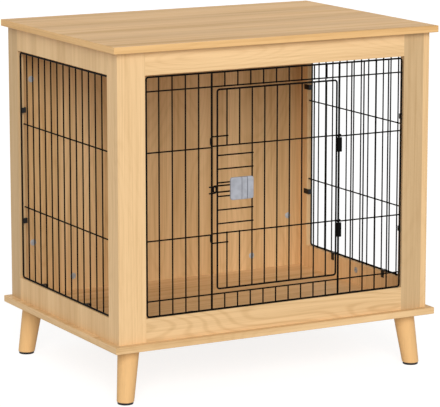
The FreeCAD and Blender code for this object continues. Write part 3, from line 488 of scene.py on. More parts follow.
def solids(node):
    """The points of each separate solid of a CAD node. Points at one place count as one, and each point takes
    the lowest number among those that it shares an edge with, until no number changes."""
    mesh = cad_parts[node].data
    points, edges = np.empty(len(mesh.vertices) * 3), np.empty(len(mesh.edges) * 2, int)
    mesh.vertices.foreach_get("co", points)
    mesh.edges.foreach_get("vertices", edges)
    points = points.reshape(-1, 3)
    place = np.unique(points.round(6), axis=0, return_inverse=True)[1].reshape(-1)
    edges = place[edges.reshape(-1, 2)]
    owner, before = np.arange(place.max() + 1), None
    while before is None or (owner != before).any():
        before = owner.copy()
        lowest = owner[edges].min(axis=1)
        np.minimum.at(owner, edges[:, 0], lowest)
        np.minimum.at(owner, edges[:, 1], lowest)
    return [points[owner[place] == number] for number in np.unique(owner)]


def level_centre(points, height):
    """The middle of a solid's points at one height."""
    level = points[np.abs(points[:, 2] - height) < 0.1 * MM]
    return (level.min(axis=0) + level.max(axis=0)) / 2


class WirePlane:
    """A wire panel's own axes: along it, inwards through it, and up, from its loop's lower corner."""

    def __init__(self, origin, along, inward):
        self.origin, self.inward = np.array(origin), np.array(inward, float)
        self.axes = np.array((along, inward, (0, 0, 1)), float)

    def at(self, points):
        """Points of the panel, each (along, inward, up), as points of the table."""
        return self.origin + np.asarray(points, float) @ self.axes

    def wire(self, points, radius, closed=False, square_to=None):
        facing = self.inward if square_to is None else square_to
        return sweep(self.at(points), facing, radius, closed=closed)

    def loop(self, low, high, depth, bend, radius):
        """A rectangle with round corners: a quarter arc in each corner, joined by straight runs."""
        (left, foot), (right, top) = low, high
        places = ((right - bend, foot + bend, -90), (right - bend, top - bend, 0),
                  (left + bend, top - bend, 90), (left + bend, foot + bend, 180))
        path = np.concatenate([arc((x, depth, z), bend, begin, begin + 90) for x, z, begin in places])
        return self.wire(path, radius, closed=True)

    def upright(self, x, y, low, high, radius):
        return self.wire([(x, y, low), (x, y, (low + high) / 2), (x, y, high)], radius)

    def row(self, left, right, y, z, radius):
        return self.wire([(left, y, z), ((left + right) / 2, y, z), (right, y, z)], radius)

    def welds(self, places, radius):
        """Small beads where wires cross: each is a ball squashed along the way inwards."""
        tilt = np.radians(np.linspace(12, 168, 5))[:, None]
        turn = np.arange(8) * math.pi / 4
        ball = np.stack(np.broadcast_arrays(np.sin(tilt) * np.cos(turn), np.cos(tilt),
                                            np.sin(tilt) * np.sin(turn)), -1)
        squashed = ball * np.array((radius, radius * 0.7, radius))
        return [closed_surface(self.at(np.array(place) + squashed)) for place in places]


def front_plane():
    """The front panel's axes, its loop's length and height, and where the two jamb wires stand along it."""
    sizes = bpy.context.scene.crate_wires
    low, high = corners("front_wire_panel")
    half = sizes.frame_wire / 2
    length, height = high[0] - low[0] - 2 * half, high[2] - low[2] - 2 * half
    jamb = sizes.door_bays * (length / sizes.front_bays)
    return WirePlane(low + half, (1, 0, 0), (0, 1, 0)), length, height, (jamb, length - jamb)


def hairpin(plane, nose, arm_end, z, depth, sizes, radius, side):
    """Two arms and a bent nose: arm, quarter arc, short upright, quarter arc, arm. Side is 1 for a nose that
    points along the panel and -1 for one that points back."""
    bend, middle, angles = sizes.hairpin_bend, (arm_end + nose) / 2, 90 + side * np.array((-180, -90, 0))
    low, high = z - sizes.arm_spacing / 2, z + sizes.arm_spacing / 2
    path = np.concatenate([[(arm_end, depth, low), (middle, depth, low)],
                           arc((nose - side * bend, depth, low + bend), bend, *angles[:2]),
                           arc((nose - side * bend, depth, high - bend), bend, *angles[1:]),
                           [(middle, depth, high), (arm_end, depth, high)]])
    return plane.wire(path, radius)


# ---------------------------------------------------------------- operators

class CRATE_OT_stage(bpy.types.Operator):
    """Floor, world, lamp and the camera at the photograph's viewing angle"""
    bl_idname = "crate.stage"
    bl_label = "Stage and camera"

    CAMERA_AZIMUTH = 28.7235  # degrees from +Y towards +X that the view runs
    CAMERA_TILT = 10.7886  # degrees below level
    CAMERA_DISTANCE = 5.6444
    CAMERA_TARGET = (-0.11290, -0.22072, 0.41083)
    FOCAL_SHARE = 2580.5 / 440  # focal length over the picture's width
    SENSOR, CLIP = 36, 50
    FLOOR_REACH = 9.0
    FLOOR_TINT, FLOOR_GLOW, WORLD = (0.8, 0.35), (0, 0.82), (0.42, 1.0)  # for bounced and for seen light
    KEY_FROM, KEY_POWER, KEY_WIDTH = (-0.40, -0.82, 0.41), 2.25, 35  # towards the lamp; degrees across it

    def execute(self, context):
        self.camera(context)
        self.floor(context)
        self.world(context)
        self.lamp(context)
        context.scene.view_settings.view_transform = "Standard"
        return {"FINISHED"}

    def camera(self, context):
        turn, tilt = math.radians(self.CAMERA_AZIMUTH), math.radians(self.CAMERA_TILT)
        forward = Vector((math.sin(turn) * math.cos(tilt), math.cos(turn) * math.cos(tilt), -math.sin(tilt)))
        data = bpy.data.cameras.new("camera")
        data.sensor_width = self.SENSOR
        data.lens = data.sensor_width * self.FOCAL_SHARE
        data.clip_end = self.CLIP
        camera = bpy.data.objects.new("camera", data)
        camera.location = Vector(self.CAMERA_TARGET) - forward * self.CAMERA_DISTANCE
        camera.rotation_euler = forward.to_track_quat("-Z", "Y").to_euler()
        context.scene.collection.objects.link(camera)
        context.scene.camera = camera

    def floor(self, context):
        mesh = bpy.data.meshes.new("floor")
        reach = self.FLOOR_REACH
        mesh.from_pydata([(-reach, -reach, 0), (reach, -reach, 0), (reach, reach, 0), (-reach, reach, 0)], [],
                         [(0, 1, 2, 3)])
        material = bpy.data.materials.new("pale_floor")
        material.use_nodes = True
        tree = material.node_tree
        for socket, value in (("Base Color", by_sight(tree, *self.FLOOR_TINT)), ("Roughness", 0.9),
                              ("Specular IOR Level", 0.0), ("Emission Color", (1, 1, 1, 1)),
                              ("Emission Strength", by_sight(tree, *self.FLOOR_GLOW))):
            feed(tree, value, tree.nodes["Principled BSDF"].inputs[socket])
        mesh.materials.append(material)
        floor = bpy.data.objects.new("floor", mesh)
        context.scene.collection.objects.link(floor)

    def world(self, context):
        world = bpy.data.worlds.new("studio")
        world.use_nodes = True
        tree = world.node_tree
        background = tree.nodes["Background"]
        background.inputs["Color"].default_value = (1, 1, 1, 1)
        feed(tree, by_sight(tree, *self.WORLD), background.inputs["Strength"])
        context.scene.world = world

    def lamp(self, context):
        data = bpy.data.lights.new("key", "SUN")
        data.energy = self.KEY_POWER
        data.angle = math.radians(self.KEY_WIDTH)
        lamp = bpy.data.objects.new("key", data)
        lamp.rotation_euler = Vector(self.KEY_FROM).to_track_quat("Z", "Y").to_euler()
        context.scene.collection.objects.link(lamp)


class CRATE_OT_boards(bpy.types.Operator):
    """Laminate on every board, its grain along the board"""
    bl_idname = "crate.boards"
    bl_label = "Boards"

    # a board's tone beside the others' (painted shade on the left rear stile and the right front stile, where
    # less light falls), its grain's axis, and its amounts of bands, streaks, lines and arches
    PLAIN = (1.0, "z", (0.20, 0.18, 0.26, 0.08))
    BOARD_FINISH_AND_PAINTED_SHADE = {"top_board": ((1.02, 0.94, 0.80), "x", (0.30, 0.26, 0.22, 0.06)),
              "base_board": (0.98, "x", (0.32, 0.28, 0.24, 0.10)),
              "back_panel": (0.98, "z", (0.55, 0.26, 0.24, 0.12)),
              "front_top_rail": (1.02, "x", (0.18, 0.18, 0.22, 0.12)),
              "front_bottom_rail": (0.94, "x", (0.18, 0.18, 0.22, 0.26)),
              "front_left_stile": (1.0, "z", (0.12, 0.14, 0.24, 0.04)),
              # painted shade: this stile is darkened where it lies in shade
              "left_rear_stile": (0.76, "z", (0.26, 0.18, 0.26, 0.04)),
              # painted shade: this stile is darkened where the light falls off towards the right
              "front_right_stile": (0.71, "z", (0.16, 0.18, 0.24, 0.08)),
              "left_top_rail": (1.0, "z", (0.40, 0.16, 0.22, 0.04)),
              "left_bottom_rail": (1.0, "z", (0.34, 0.16, 0.22, 0.04))}
    BANDED = ("top_board", "base_board")  # their left and right edges have the grain along the edge
    STEP = np.array((0.37, 0.53, 0.29))  # how far apart two boards' patterns are taken

    def execute(self, context):
        colours = context.scene.crate_colours
        for number, node in enumerate(sorted(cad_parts)):
            if not node.endswith(("_board", "_stile", "_rail", "back_panel")):
                continue
            tone, along, amounts = self.BOARD_FINISH_AND_PAINTED_SHADE.get(node, self.PLAIN)
            material = wood(f"laminate_{node}", solid(colours.laminate, tone), solid(colours.streak, tone),
                            along, amounts, self.STEP * number)
            if node in self.BANDED:
                self.band_ends(material.node_tree)
            dress(node, material)
        return {"FINISHED"}

    def band_ends(self, tree):
        """Where a face looks along X, take the pattern a quarter turn round Z, as on a strip glued there."""
        vector = next(node for node in tree.nodes if node.type == "GROUP").inputs["Vector"]
        split = tree.nodes.new("ShaderNodeSeparateXYZ")
        feed(tree, tree.nodes.new("ShaderNodeTexCoord").outputs["Normal"], split.inputs["Vector"])
        turned = mapped(tree, object_coordinates(tree), Rotation=(0, 0, -math.pi / 2))
        sideways = calc(tree, "GREATER_THAN", calc(tree, "ABSOLUTE", split.outputs["X"]), 0.8)
        feed(tree, blend(tree, sideways, vector.links[0].from_socket, turned, "VECTOR"), vector)


class CRATE_OT_legs(bpy.types.Operator):
    """Round tapered legs and their black glides"""
    bl_idname = "crate.legs"
    bl_label = "Legs and glides"

    def execute(self, context):
        sizes, colours = context.scene.crate_legs, context.scene.crate_colours
        beech = wood("leg_wood", solid(colours.leg_wood), solid(colours.leg_wood, 0.72), "z",
                     (0.14, 0.16, 0.16, 0.05))
        black = coated("black_glide_plastic", (0.008, 0.008, 0.008), 0.45, 1500.0, 0.15, specular=0.3)
        for end in ("front", "rear"):
            legs = [self.leg(points, sizes) for points in solids(f"{end}_legs")]
            glides = [self.glide(points, sizes) for points in solids(f"{end}_leg_glides")]
            mesh_piece(f"{end}_round_legs", joined(legs), beech, "cabinet", f"{end}_legs")
            mesh_piece(f"{end}_round_glides", joined(glides), black, "cabinet", f"{end}_leg_glides")
        return {"FINISHED"}

    def leg(self, points, sizes):
        """Level circles from foot to top: the centre runs along a straight line, the radius grows evenly, and
        the lowest few turn in over the arris like a quarter of a circle."""
        foot, top = level_centre(points, points[:, 2].min()), level_centre(points, points[:, 2].max())
        inset, along = quarter()
        share = np.concatenate([sizes.arris * along / (top[2] - foot[2]), np.linspace(0.02, 1, 12)])
        radii = (sizes.foot_dia + (sizes.top_dia - sizes.foot_dia) * share) / 2
        radii[:len(inset)] -= sizes.arris * inset
        return level_rings(foot + share[:, None] * (top - foot), radii, 56)

    def glide(self, points, sizes):
        """A disc with a rounded lower edge."""
        low, high = points[:, 2].min(), points[:, 2].max()
        x, y, _ = level_centre(points, low)
        inset, along = quarter()
        radii = np.append(sizes.glide_dia / 2 - sizes.glide_arris * inset, sizes.glide_dia / 2)
        heights = np.append(low + sizes.glide_arris * along, high)
        return level_rings([(x, y, height) for height in heights], radii, 48)


class CRATE_OT_side_panels(bpy.types.Operator):
    """Round wires of the two side panels"""
    bl_idname = "crate.side_panels"
    bl_label = "Side wire panels"

    def execute(self, context):
        sizes = context.scene.crate_wires
        half = sizes.frame_wire / 2
        for side, into in (("left", 1), ("right", -1)):
            low, high = corners(f"{side}_wire_panel")
            low, high = low + half, high - half
            origin = (low[0], high[1], low[2]) if side == "left" else (high[0], low[1], low[2])
            plane = WirePlane(origin, (0, -into, 0), (into, 0, 0))
            wires = joined(self.wires(plane, high - low, sizes))
            mesh_piece(f"{side}_round_wires", wires, wire_coat(), "cabinet", f"{side}_wire_panel")
        return {"FINISHED"}

    def wires(self, plane, span, sizes):
        _, length, height = span
        tail, depth, grid = sizes.tail, sizes.upright_depth, sizes.grid_wire / 2
        columns = [sizes.short_bay + bay * sizes.pitch for bay in range(sizes.side_uprights)]
        rows = [sizes.row_mid, height - sizes.row_mid]
        return ([plane.loop((0, 0), (length, height), 0, sizes.loop_bend, sizes.frame_wire / 2)]
                + [plane.upright(x, depth, -tail, height + tail, grid) for x in columns]
                + [plane.row(-tail, length + tail, sizes.row_depth, z, grid) for z in rows]
                + plane.welds([(x, depth + grid, z) for x in columns for z in rows], sizes.bead))


class CRATE_OT_front_panel(bpy.types.Operator):
    """Round wires of the front panel, with its doorway and keeper"""
    bl_idname = "crate.front_panel"
    bl_label = "Front wire panel"

    KEEPER_SUNK = 0.3 * MM  # how far the keeper is pressed into the jamb wire

    def execute(self, context):
        sizes = context.scene.crate_wires
        plane, length, height, (left, right) = front_plane()
        tail, grid, depth = sizes.tail, sizes.grid_wire / 2, sizes.upright_depth
        foot, top = -tail, height + tail
        sill, lintel = sizes.row_edge, height - sizes.row_edge
        low_row, high_row = sizes.row_mid, height - sizes.row_mid
        made = [plane.loop((0, 0), (length, height), 0, sizes.loop_bend, sizes.frame_wire / 2)]
        welds = []
        for bay in range(1, sizes.front_bays):
            x = bay * (length / sizes.front_bays)
            doorway = left < x < right
            if bay in (sizes.door_bays, sizes.front_bays - sizes.door_bays):
                made.append(plane.upright(x, depth, foot, top, sizes.jamb_wire / 2))
            elif doorway:
                made.append(plane.upright(x, depth, foot, sill + tail, grid))
                made.append(plane.upright(x, depth, lintel - tail, top, grid))
            else:
                made.append(plane.upright(x, depth, foot, top, grid))
            welds += [(x, depth + grid, z) for z in ((sill, lintel) if doorway
                                                     else (sill, low_row, high_row, lintel))]
        spans = {(-tail, length + tail): (sill, lintel), (-tail, left + tail): (low_row, high_row),
                 (right - tail, length + tail): (low_row, high_row)}
        made += [plane.row(*span, sizes.row_depth, z, grid) for span, rows in spans.items() for z in rows]
        made.append(hairpin(plane, left + sizes.keeper_right, left - sizes.keeper_left,
                            (low_row + high_row) / 2 + sizes.row_lift,
                            depth - (sizes.jamb_wire + sizes.grid_wire) / 2 + self.KEEPER_SUNK, sizes, grid, 1))
        made += plane.welds(welds, sizes.bead)
        mesh_piece("front_round_wires", joined(made), wire_coat(), "cabinet", "front_wire_panel")
        return {"FINISHED"}


class CRATE_OT_door(bpy.types.Operator):
    """Round wires of the door, with its hinge eyes and stops"""
    bl_idname = "crate.door"
    bl_label = "Wire door"

    LATCH_FROM_LOOP = 23.5 * MM  # from the loop's left wire to the CAD latch handle
    CLIP_SHEET = 1.0 * MM  # the CAD hinge clips grip the loop's right wire, a sheet outside it
    EYE_RUN, EYE_TURN = 3 * MM, 88  # straight start of the hinge eye, and degrees past level where it ends
    CUT_UPRIGHTS = 2  # uprights that leave room for the latch; the rungs run on to the one after them

    def execute(self, context):
        sizes = context.scene.crate_wires
        plane, _, height, (jamb_left, jamb_right) = front_plane()
        grid, half, tail = sizes.grid_wire / 2, sizes.frame_wire / 2, sizes.tail
        row_y = sizes.upright_depth - sizes.eye
        column_y = row_y + sizes.grid_wire
        low, high = corners("door_grille")
        foot, top = low[2] - plane.origin[2] + half, high[2] - plane.origin[2] - half
        left = corners("latch_handle")[0][0] - plane.origin[0] - self.LATCH_FROM_LOOP
        right = corners("hinge_clips")[0][0] - plane.origin[0] + half + self.CLIP_SHEET
        rows = [sizes.row_mid + sizes.row_lift, height - sizes.row_mid + sizes.row_lift]
        made = [plane.loop((left, foot), (right, top), row_y + grid + half, sizes.loop_bend, half)]
        first = left + sizes.door_first_bay
        step = (right - sizes.door_last_bay - first) / (sizes.door_uprights - 1)
        welds = []
        for number in range(sizes.door_uprights):
            x = first + number * step
            cut = number < self.CUT_UPRIGHTS
            parts = ((foot, rows[0] + tail), (rows[1] - tail, top)) if cut else ((foot, top),)
            made += [plane.upright(x, column_y, *part, grid) for part in parts]
            welds += [(x, row_y + grid, z) for z in rows]
        for z, rising in zip(rows, (-1, 1)):
            made += self.row_with_stop(plane, sizes, (z, rising), (jamb_left, first, jamb_right), row_y)
        last = first + self.CUT_UPRIGHTS * step
        for number in range(sizes.rungs):
            z = sum(rows) / 2 + (number - (sizes.rungs - 1) / 2) * sizes.rung_pitch
            made.append(plane.row(left - tail, last + tail, row_y, z, grid))
            welds += [(left, row_y + grid, z), (last, row_y + grid, z)]
        made += plane.welds(welds, sizes.bead)
        mesh_piece("door_round_wires", joined(made), wire_coat(), "door", "door_grille")
        return {"FINISHED"}

    def row_with_stop(self, plane, sizes, height, places, y):
        """One wire: an eye of half a turn round the hinge wire, the straight row, and a loop that returns to
        the first upright; the eye lies level and the rest stands in the door's plane, so they are two sweeps."""
        (z, rising), (jamb_left, first, jamb_right) = height, places
        grid, bend = sizes.grid_wire / 2, sizes.stop_bend
        turn_x, back_z = jamb_left - sizes.stop_reach + bend, z + rising * sizes.stop_height
        path = np.concatenate([[(jamb_right, y, z), ((first + jamb_right) / 2, y, z)],
                               arc((turn_x, y, z + rising * bend), bend, -90 * rising, -180 * rising),
                               arc((turn_x, y, back_z - rising * bend), bend, 180 * rising, 90 * rising),
                               [((turn_x + first) / 2, y, back_z), (first + sizes.tail, y, back_z)]])
        turn = arc((jamb_right, sizes.upright_depth, z), sizes.eye, -90, self.EYE_TURN, (0, 1), 15)
        roll = np.concatenate([[(jamb_right - self.EYE_RUN, y, z)], turn])
        return [plane.wire(path, grid), plane.wire(roll, grid, square_to=(0, 0, 1))]


class CRATE_OT_hinge_clips(bpy.types.Operator):
    """Black clips that turn with the door on the panel's hinge wire"""
    bl_idname = "crate.hinge_clips"
    bl_label = "Hinge clips"

    LEFT, RIGHT, WALL = 3.6 * MM, 7.2 * MM, 1.0 * MM  # to both sides of the hinge wire, and in front of it
    LIFT, ROUNDING, CORNER = 1.6 * MM, 0.5 * MM, 2 * MM  # above the CAD clips; at the ends; in the outline
    AROUND = 48

    def execute(self, context):
        clips = [self.clip(context.scene.crate_wires, points) for points in solids("hinge_clips")]
        mesh_piece("hinge_wire_clips", joined(clips), wire_coat(), "door", "hinge_clips")
        return {"FINISHED"}

    def clip(self, sizes, points):
        """A bar round the hinge wire, further to its right than to its left. Its outline is a rounded
        rectangle, and each point of its bore lies in the same direction from the wire as the outline's."""
        plane, _, _, (_, jamb_right) = front_plane()
        foot, top = points[:, 2].min() + self.LIFT, points[:, 2].max() + self.LIFT
        bore = sizes.jamb_wire / 2 + sizes.running_gap
        rings = np.empty((6, self.AROUND, 3))
        rings[..., 2] = np.array((foot, foot, foot + self.ROUNDING, top - self.ROUNDING, top, top))[:, None]
        for ring, inset in enumerate((self.ROUNDING, 0, 0, self.ROUNDING), 1):
            outline = rounded_rectangle(self.LEFT + self.RIGHT - 2 * inset, 2 * (bore + self.WALL - inset),
                                        self.CORNER, self.AROUND)[::-1]
            rings[ring, :, :2] = outline + ((self.RIGHT - self.LEFT) / 2, 0)
        flat = rings[1, :, :2]
        rings[[0, 5], :, :2] = bore * flat / np.linalg.norm(flat, axis=1)[:, None]
        rings[..., :2] += plane.at((jamb_right, sizes.upright_depth, 0))[:2]
        return torus_surface(rings)


class CRATE_OT_panel_holders(bpy.types.Operator):
    """Black clips behind the frames that keep the wire panels in their openings"""
    bl_idname = "crate.panel_holders"
    bl_label = "Panel holders"

    SHEET, REACH, ROUNDING = 1.2 * MM, 10.6 * MM, 0.4 * MM
    FOOT, LOW_HOOK = 13 * MM, 1.6 * MM  # foot on the board, and the front panel's hooks past the board's edge
    DRAWN_IN = np.array((0.94, 1, 1, 0.94))  # the outline's size across the clip's width

    def execute(self, context):
        plastic = coated("black_holder_plastic", (0.006, 0.006, 0.006), 0.42, 1500.0, 0.15, specular=0.3)
        for side, inward in (("left", (1, 0, 0)), ("right", (-1, 0, 0)), ("front", (0, 1, 0))):
            panel_low, panel_high = corners(f"{side}_wire_panel")
            clips = [self.clip(points, np.array(inward, float), (panel_low + panel_high) / 2,
                               panel_high - panel_low, side == "front")
                     for points in solids(f"{side}_panel_holders")]
            mesh_piece(f"{side}_clips", joined(clips), plastic, "cabinet", f"{side}_panel_holders")
        return {"FINISHED"}

    def clip(self, points, inward, panel_centre, panel_span, low_hook):
        """An L: a foot on the board's inner face and a hook that reaches forward to the wire. Its outline is
        drawn in the plane of the inward direction and the one into the opening, and carried across the width
        with its edges drawn in over the rounding at each end."""
        low, high = points.min(axis=0), points.max(axis=0)
        middle = (low + high) / 2
        share = np.where(inward == 0, (panel_centre - middle) / panel_span, 0)
        opening = np.sign(share) * (np.abs(share) == np.abs(share).max())
        across = np.cross(inward, opening)
        back = max(low @ inward, high @ inward)
        foot, tip = sorted((low @ opening, high @ opening))
        if low_hook:
            tip = foot + self.FOOT + self.LOW_HOOK
        front, half = back - self.REACH, np.abs((high - low) @ across) / 2
        outline = np.array([(back, foot), (back, tip), (front, tip), (front, tip - self.SHEET),
                            (back - self.SHEET, tip - self.SHEET), (back - self.SHEET, foot)])
        places = np.array((-half, -half + self.ROUNDING, half - self.ROUNDING, half))
        centre = outline.mean(axis=0)
        rings = (outline - centre) * self.DRAWN_IN[:, None, None] + centre
        surface = rings[..., :1] * inward + rings[..., 1:] * opening + places[:, None, None] * across
        return closed_surface((surface + middle * np.abs(across))[:, ::-1])


def smooth_step(value, start, length):
    """Zero before the start, one past the length, and a smooth rise between."""
    share = np.clip((value - start) / length, 0, 1)
    return share * share * (3 - 2 * share)


class CRATE_OT_latch(bpy.types.Operator):
    """The latch: finger plate with its ridge and gripping edge, slider, bolt and screws"""
    bl_idname = "crate.latch"
    bl_label = "Sliding latch"

    # from the CAD plate's left edge to this one's and to the ridge's foot; the ridge's width and height
    LEFT, FLAT, RIDGE, STEP = 4.5 * MM, 32.5 * MM, 11 * MM, 2 * MM
    RISE, FALL = 1.6 * MM, 2 * MM  # widths of the ridge's two slopes, which begin SLOPE before their edges
    SLOPE = 1 * MM
    THICK, EDGE, CORNER, BACK_EDGE = 8 * MM, 2.4 * MM, 5 * MM, 0.4 * MM
    HOLLOW, CROWN, RIB, RIB_PITCH = 1.4 * MM, 0.4 * MM, 0.5 * MM, 3.4 * MM
    GROOVE_AT, GROOVE_WIDTH = 1.2 * MM, 1.1 * MM  # past the ridge
    # lines where shade is painted into the plastic's colour, at the groove and the ridge's foot: past the
    # plate's left edge, how far the painted shade reaches, how dark
    PAINTED_SHADES = ((FLAT - 1.5 * MM, 2.0 * MM, 0.45), (FLAT + RIDGE + GROOVE_AT, 1.8 * MM, 0.8))
    FACE_RINGS, EDGE_RINGS, AROUND = 36, 6, 240
    SLIDER_LEFT, SLIDER_EDGE, SLIDER_CORNER = 14 * MM, 1.5 * MM, 2 * MM  # left edge from the CAD slider's
    BOSS_HEIGHT, BOSS_SUNK = 26.4 * MM, 0.5 * MM
    HEAD_RADIUS, HEAD_DEPTH, HEAD_SUNK = 3 * MM, 1.6 * MM, 0.5 * MM

    def execute(self, context):
        sizes, colours = context.scene.crate_wires, context.scene.crate_colours
        grey = coated("grey_latch_plastic", tuple(colours.latch), 0.38, 2600.0, 0.25, specular=0.35)
        # painted shade in the latch plate's groove and at its ridge's foot
        self.paint_shade_in_hollows(grey.node_tree)
        mesh_piece("latch_finger_plate", joined([self.plate(), self.boss()]), grey, "latch", "latch_handle",
                   smooth=math.radians(35))
        self.slider(grey)
        plane = front_plane()[0]
        low, high = corners("latch_bolt") - plane.origin
        middle = (low + high) / 2
        bolt = hairpin(plane, low[0] + sizes.bolt_wire / 2, high[0], middle[2], middle[1], sizes,
                       sizes.bolt_wire / 2, -1)
        mesh_piece("latch_round_bolt", bolt, wire_coat(), "latch", "latch_bolt")
        return {"FINISHED"}

    def face_depth(self, x, z, height):
        """How far the finger plate's face lies behind its ridge, over x from its left and z from its middle: a
        step over the smooth part with a shallow thumb hollow, none on the ridge, half a step over the grip with
        upright ribs, a groove between those two, smooth steps, and a slight crown from top to bottom."""
        smooth_part = 1 - smooth_step(x, self.FLAT - self.SLOPE, self.RISE)
        past_ridge = x - self.FLAT - self.RIDGE
        grip_part = smooth_step(past_ridge, -self.SLOPE, self.FALL)
        middle, half = (self.LEFT + self.FLAT) / 2, (self.FLAT - self.LEFT) / 2
        hollow = self.HOLLOW * np.exp(-((x - middle) / (0.7 * half)) ** 4 - (z / (0.36 * height)) ** 4)
        ribs = self.RIB * (1 - np.cos(past_ridge * 2 * math.pi / self.RIB_PITCH)) / 2
        groove = self.STEP * np.exp(-((past_ridge - self.GROOVE_AT) / self.GROOVE_WIDTH) ** 2)
        crown = self.CROWN * (2 * z / height) ** 2
        return (self.STEP + hollow) * smooth_part + (self.STEP / 2 + ribs) * grip_part + groove + crown

    def plate(self):
        """Rings that grow from the face's middle to the edge, then over a quarter round and back to the rear
        face. The face's depth is a function of where a point falls, and it fades out over the rounding."""
        low, high = corners("latch_handle")
        width, height = high[0] - low[0] - self.LEFT, high[2] - low[2]
        inward, along = (self.EDGE * part[1:] for part in quarter(self.EDGE_RINGS))
        face = np.ones(self.FACE_RINGS)
        inset = np.concatenate([face * self.EDGE, inward, [0, self.BACK_EDGE]])
        edge = np.concatenate([face * 0, along, [self.THICK - self.BACK_EDGE, self.THICK]])
        grow = np.concatenate([np.linspace(0.02, 1, self.FACE_RINGS), np.ones(len(inset) - self.FACE_RINGS)])
        outline = np.stack([rounded_rectangle(width - 2 * step, height - 2 * step, self.CORNER - step * 0.6,
                                              self.AROUND) for step in inset])
        flat = grow[:, None, None] * outline
        x, z = flat[..., 0] + width / 2 + self.LEFT, flat[..., 1]
        fade = np.clip(1 - edge / (3 * self.EDGE), 0, 1)[:, None]
        depth = np.minimum(self.face_depth(x, z, height) * fade + edge[:, None], self.THICK)
        return closed_surface(np.stack([low[0] + x, low[1] + depth, (low[2] + high[2]) / 2 + z], -1))

    def paint_shade_in_hollows(self, tree):
        """Paint shade into the plastic's colour in the groove and at the ridge's foot, where little light
        reaches: the nearer a point's x is to one of the two lines, the darker."""
        low, _ = corners("latch_handle")
        colour = tree.nodes["Principled BSDF"].inputs["Base Color"]
        split = tree.nodes.new("ShaderNodeSeparateXYZ")
        feed(tree, object_coordinates(tree), split.inputs["Vector"])
        shade = 0.0
        for line, reach, amount in self.PAINTED_SHADES:
            away = calc(tree, "ABSOLUTE", calc(tree, "SUBTRACT", split.outputs["X"], low[0] + line))
            near = calc(tree, "MULTIPLY", calc(tree, "SUBTRACT", 1.0, between(tree, away, 0, reach)), amount)
            shade = calc(tree, "MAXIMUM", shade, near)
        # the colour of the painted shade
        dark = solid(bpy.context.scene.crate_colours.latch, 0.22)
        feed(tree, blend(tree, shade, colour.links[0].from_socket, dark), colour)

    def boss(self):
        """The block between the rungs, from the plate's back to the slider's face."""
        low, high = corners("latch_handle")
        return self.rounded_bar(self.BOSS_HEIGHT, 0, low[1] + self.THICK - self.BOSS_SUNK, high[1])

    def rounded_bar(self, height, rounding, front, back):
        """A bar through the door's plane as wide as the slider: rounded rectangles from front to back, the last
        ones drawn in over a quarter round."""
        low, high = corners("latch_slider")
        left = low[0] + self.SLIDER_LEFT
        width, (along, inward) = high[0] - left, quarter()
        inset = np.concatenate([[0, 0], rounding * inward])
        depths = np.concatenate([[front, (front + back) / 2], back - rounding * along])
        outline = np.stack([rounded_rectangle(width - 2 * step, height - 2 * step, self.SLIDER_CORNER, 64)
                            for step in inset])
        x, z = (left + high[0]) / 2 + outline[..., 0], (low[2] + high[2]) / 2 + outline[..., 1]
        return closed_surface(np.stack([x, np.broadcast_to(depths[:, None], x.shape), z], -1))

    def slider(self, grey):
        """The block that slides behind the door's wires, and its two screws, drawn in with it to the right."""
        low, high = corners("latch_slider")
        bar = self.rounded_bar(high[2] - low[2], self.SLIDER_EDGE, low[1], high[1])
        mesh_piece("latch_slider_block", bar, grey, "latch", "latch_slider")
        heads = []
        for points in solids("latch_screws"):
            share = (points[:, 0].mean() - low[0]) / (high[0] - low[0])
            centre = (points.min(axis=0) + points.max(axis=0)) / 2
            centre[0] = low[0] + self.SLIDER_LEFT + share * (high[0] - low[0] - self.SLIDER_LEFT)
            centre[1] = high[1] - self.HEAD_SUNK
            heads.append(cross_disc(centre, (0, 1, 0), self.HEAD_RADIUS, self.HEAD_DEPTH))
        mesh_piece("latch_screw_heads", joined(heads), plain_steel(), "latch", "latch_screws")


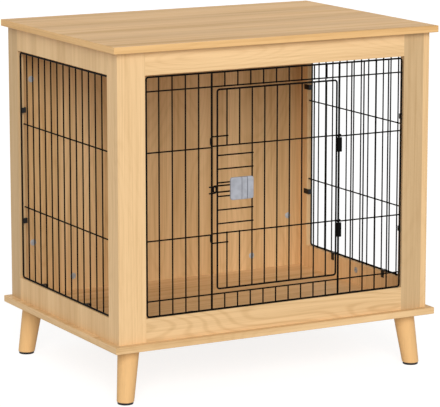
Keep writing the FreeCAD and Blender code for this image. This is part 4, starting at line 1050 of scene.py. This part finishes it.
class CRATE_OT_cam_locks(bpy.types.Operator):
    """Round cam locks with a cross recess, and the plain fasteners"""
    bl_idname = "crate.cam_locks"
    bl_label = "Cam locks"

    def execute(self, context):
        colours = context.scene.crate_colours
        zinc = coated("cam_zinc", tuple(colours.cam), 0.35, 1800.0, 0.1, metallic=0.4)
        for node in ("back_panel_cam_locks", "frame_cam_locks"):
            mesh_piece(f"{node}_dished", joined([self.cam(points) for points in solids(node)]), zinc, "cabinet",
                       node)
        for node in ("back_panel_cam_bolts", "frame_cam_bolts", "leg_bolts"):
            dress(node, plain_steel())
        beech = wood("beech_dowel", solid(colours.leg_wood), solid(colours.leg_wood, 0.7), "x",
                     (0.1, 0.2, 0.2, 0))
        for node in ("side_frame_dowels", "front_frame_dowels"):
            dress(node, beech)
        return {"FINISHED"}

    def cam(self, points):
        """A lock that faces the middle of the table, along the way in which it measures least."""
        low, high = points.min(axis=0), points.max(axis=0)
        middle, span = (low + high) / 2, high - low
        axis = int(np.argmin(span))
        facing = np.zeros(3)
        facing[axis] = -np.sign(middle[axis])
        return cross_disc(middle, facing, np.sort(span)[1] / 2, span[axis])


class CRATE_PT_panel(bpy.types.Panel):
    """The table's pieces, sizes and colours"""
    bl_idname = "CRATE_PT_panel"
    bl_label = "Crate end table"
    bl_space_type = "VIEW_3D"
    bl_region_type = "UI"
    bl_category = "Crate Table"

    def draw(self, context):
        for operator in OPERATORS:
            self.layout.operator(operator.bl_idname)
        for group in SETTINGS:
            settings, box = getattr(context.scene, group), self.layout.box()
            for name in settings.bl_rna.properties.keys():
                if name not in ("rna_type", "name"):
                    box.prop(settings, name)


SETTINGS = {"crate_wires": CrateWireSizes, "crate_legs": CrateLegSizes, "crate_colours": CrateColours}
OPERATORS = (CRATE_OT_stage, CRATE_OT_boards, CRATE_OT_legs, CRATE_OT_side_panels, CRATE_OT_front_panel,
             CRATE_OT_door, CRATE_OT_hinge_clips, CRATE_OT_panel_holders, CRATE_OT_latch, CRATE_OT_cam_locks)


def register():
    for name, settings in SETTINGS.items():
        bpy.utils.register_class(settings)
        setattr(bpy.types.Scene, name, bpy.props.PointerProperty(type=settings))
    for operator in OPERATORS:
        bpy.utils.register_class(operator)
    bpy.utils.register_class(CRATE_PT_panel)


def unregister():
    bpy.utils.unregister_class(CRATE_PT_panel)
    for operator in reversed(OPERATORS):
        bpy.utils.unregister_class(operator)
    for name, settings in SETTINGS.items():
        delattr(bpy.types.Scene, name)
        bpy.utils.unregister_class(settings)


def main():
    register()
    for operator in OPERATORS:
        group, action = operator.bl_idname.split(".")
        getattr(getattr(bpy.ops, group), action)()


if __name__ == "__main__":
    main()
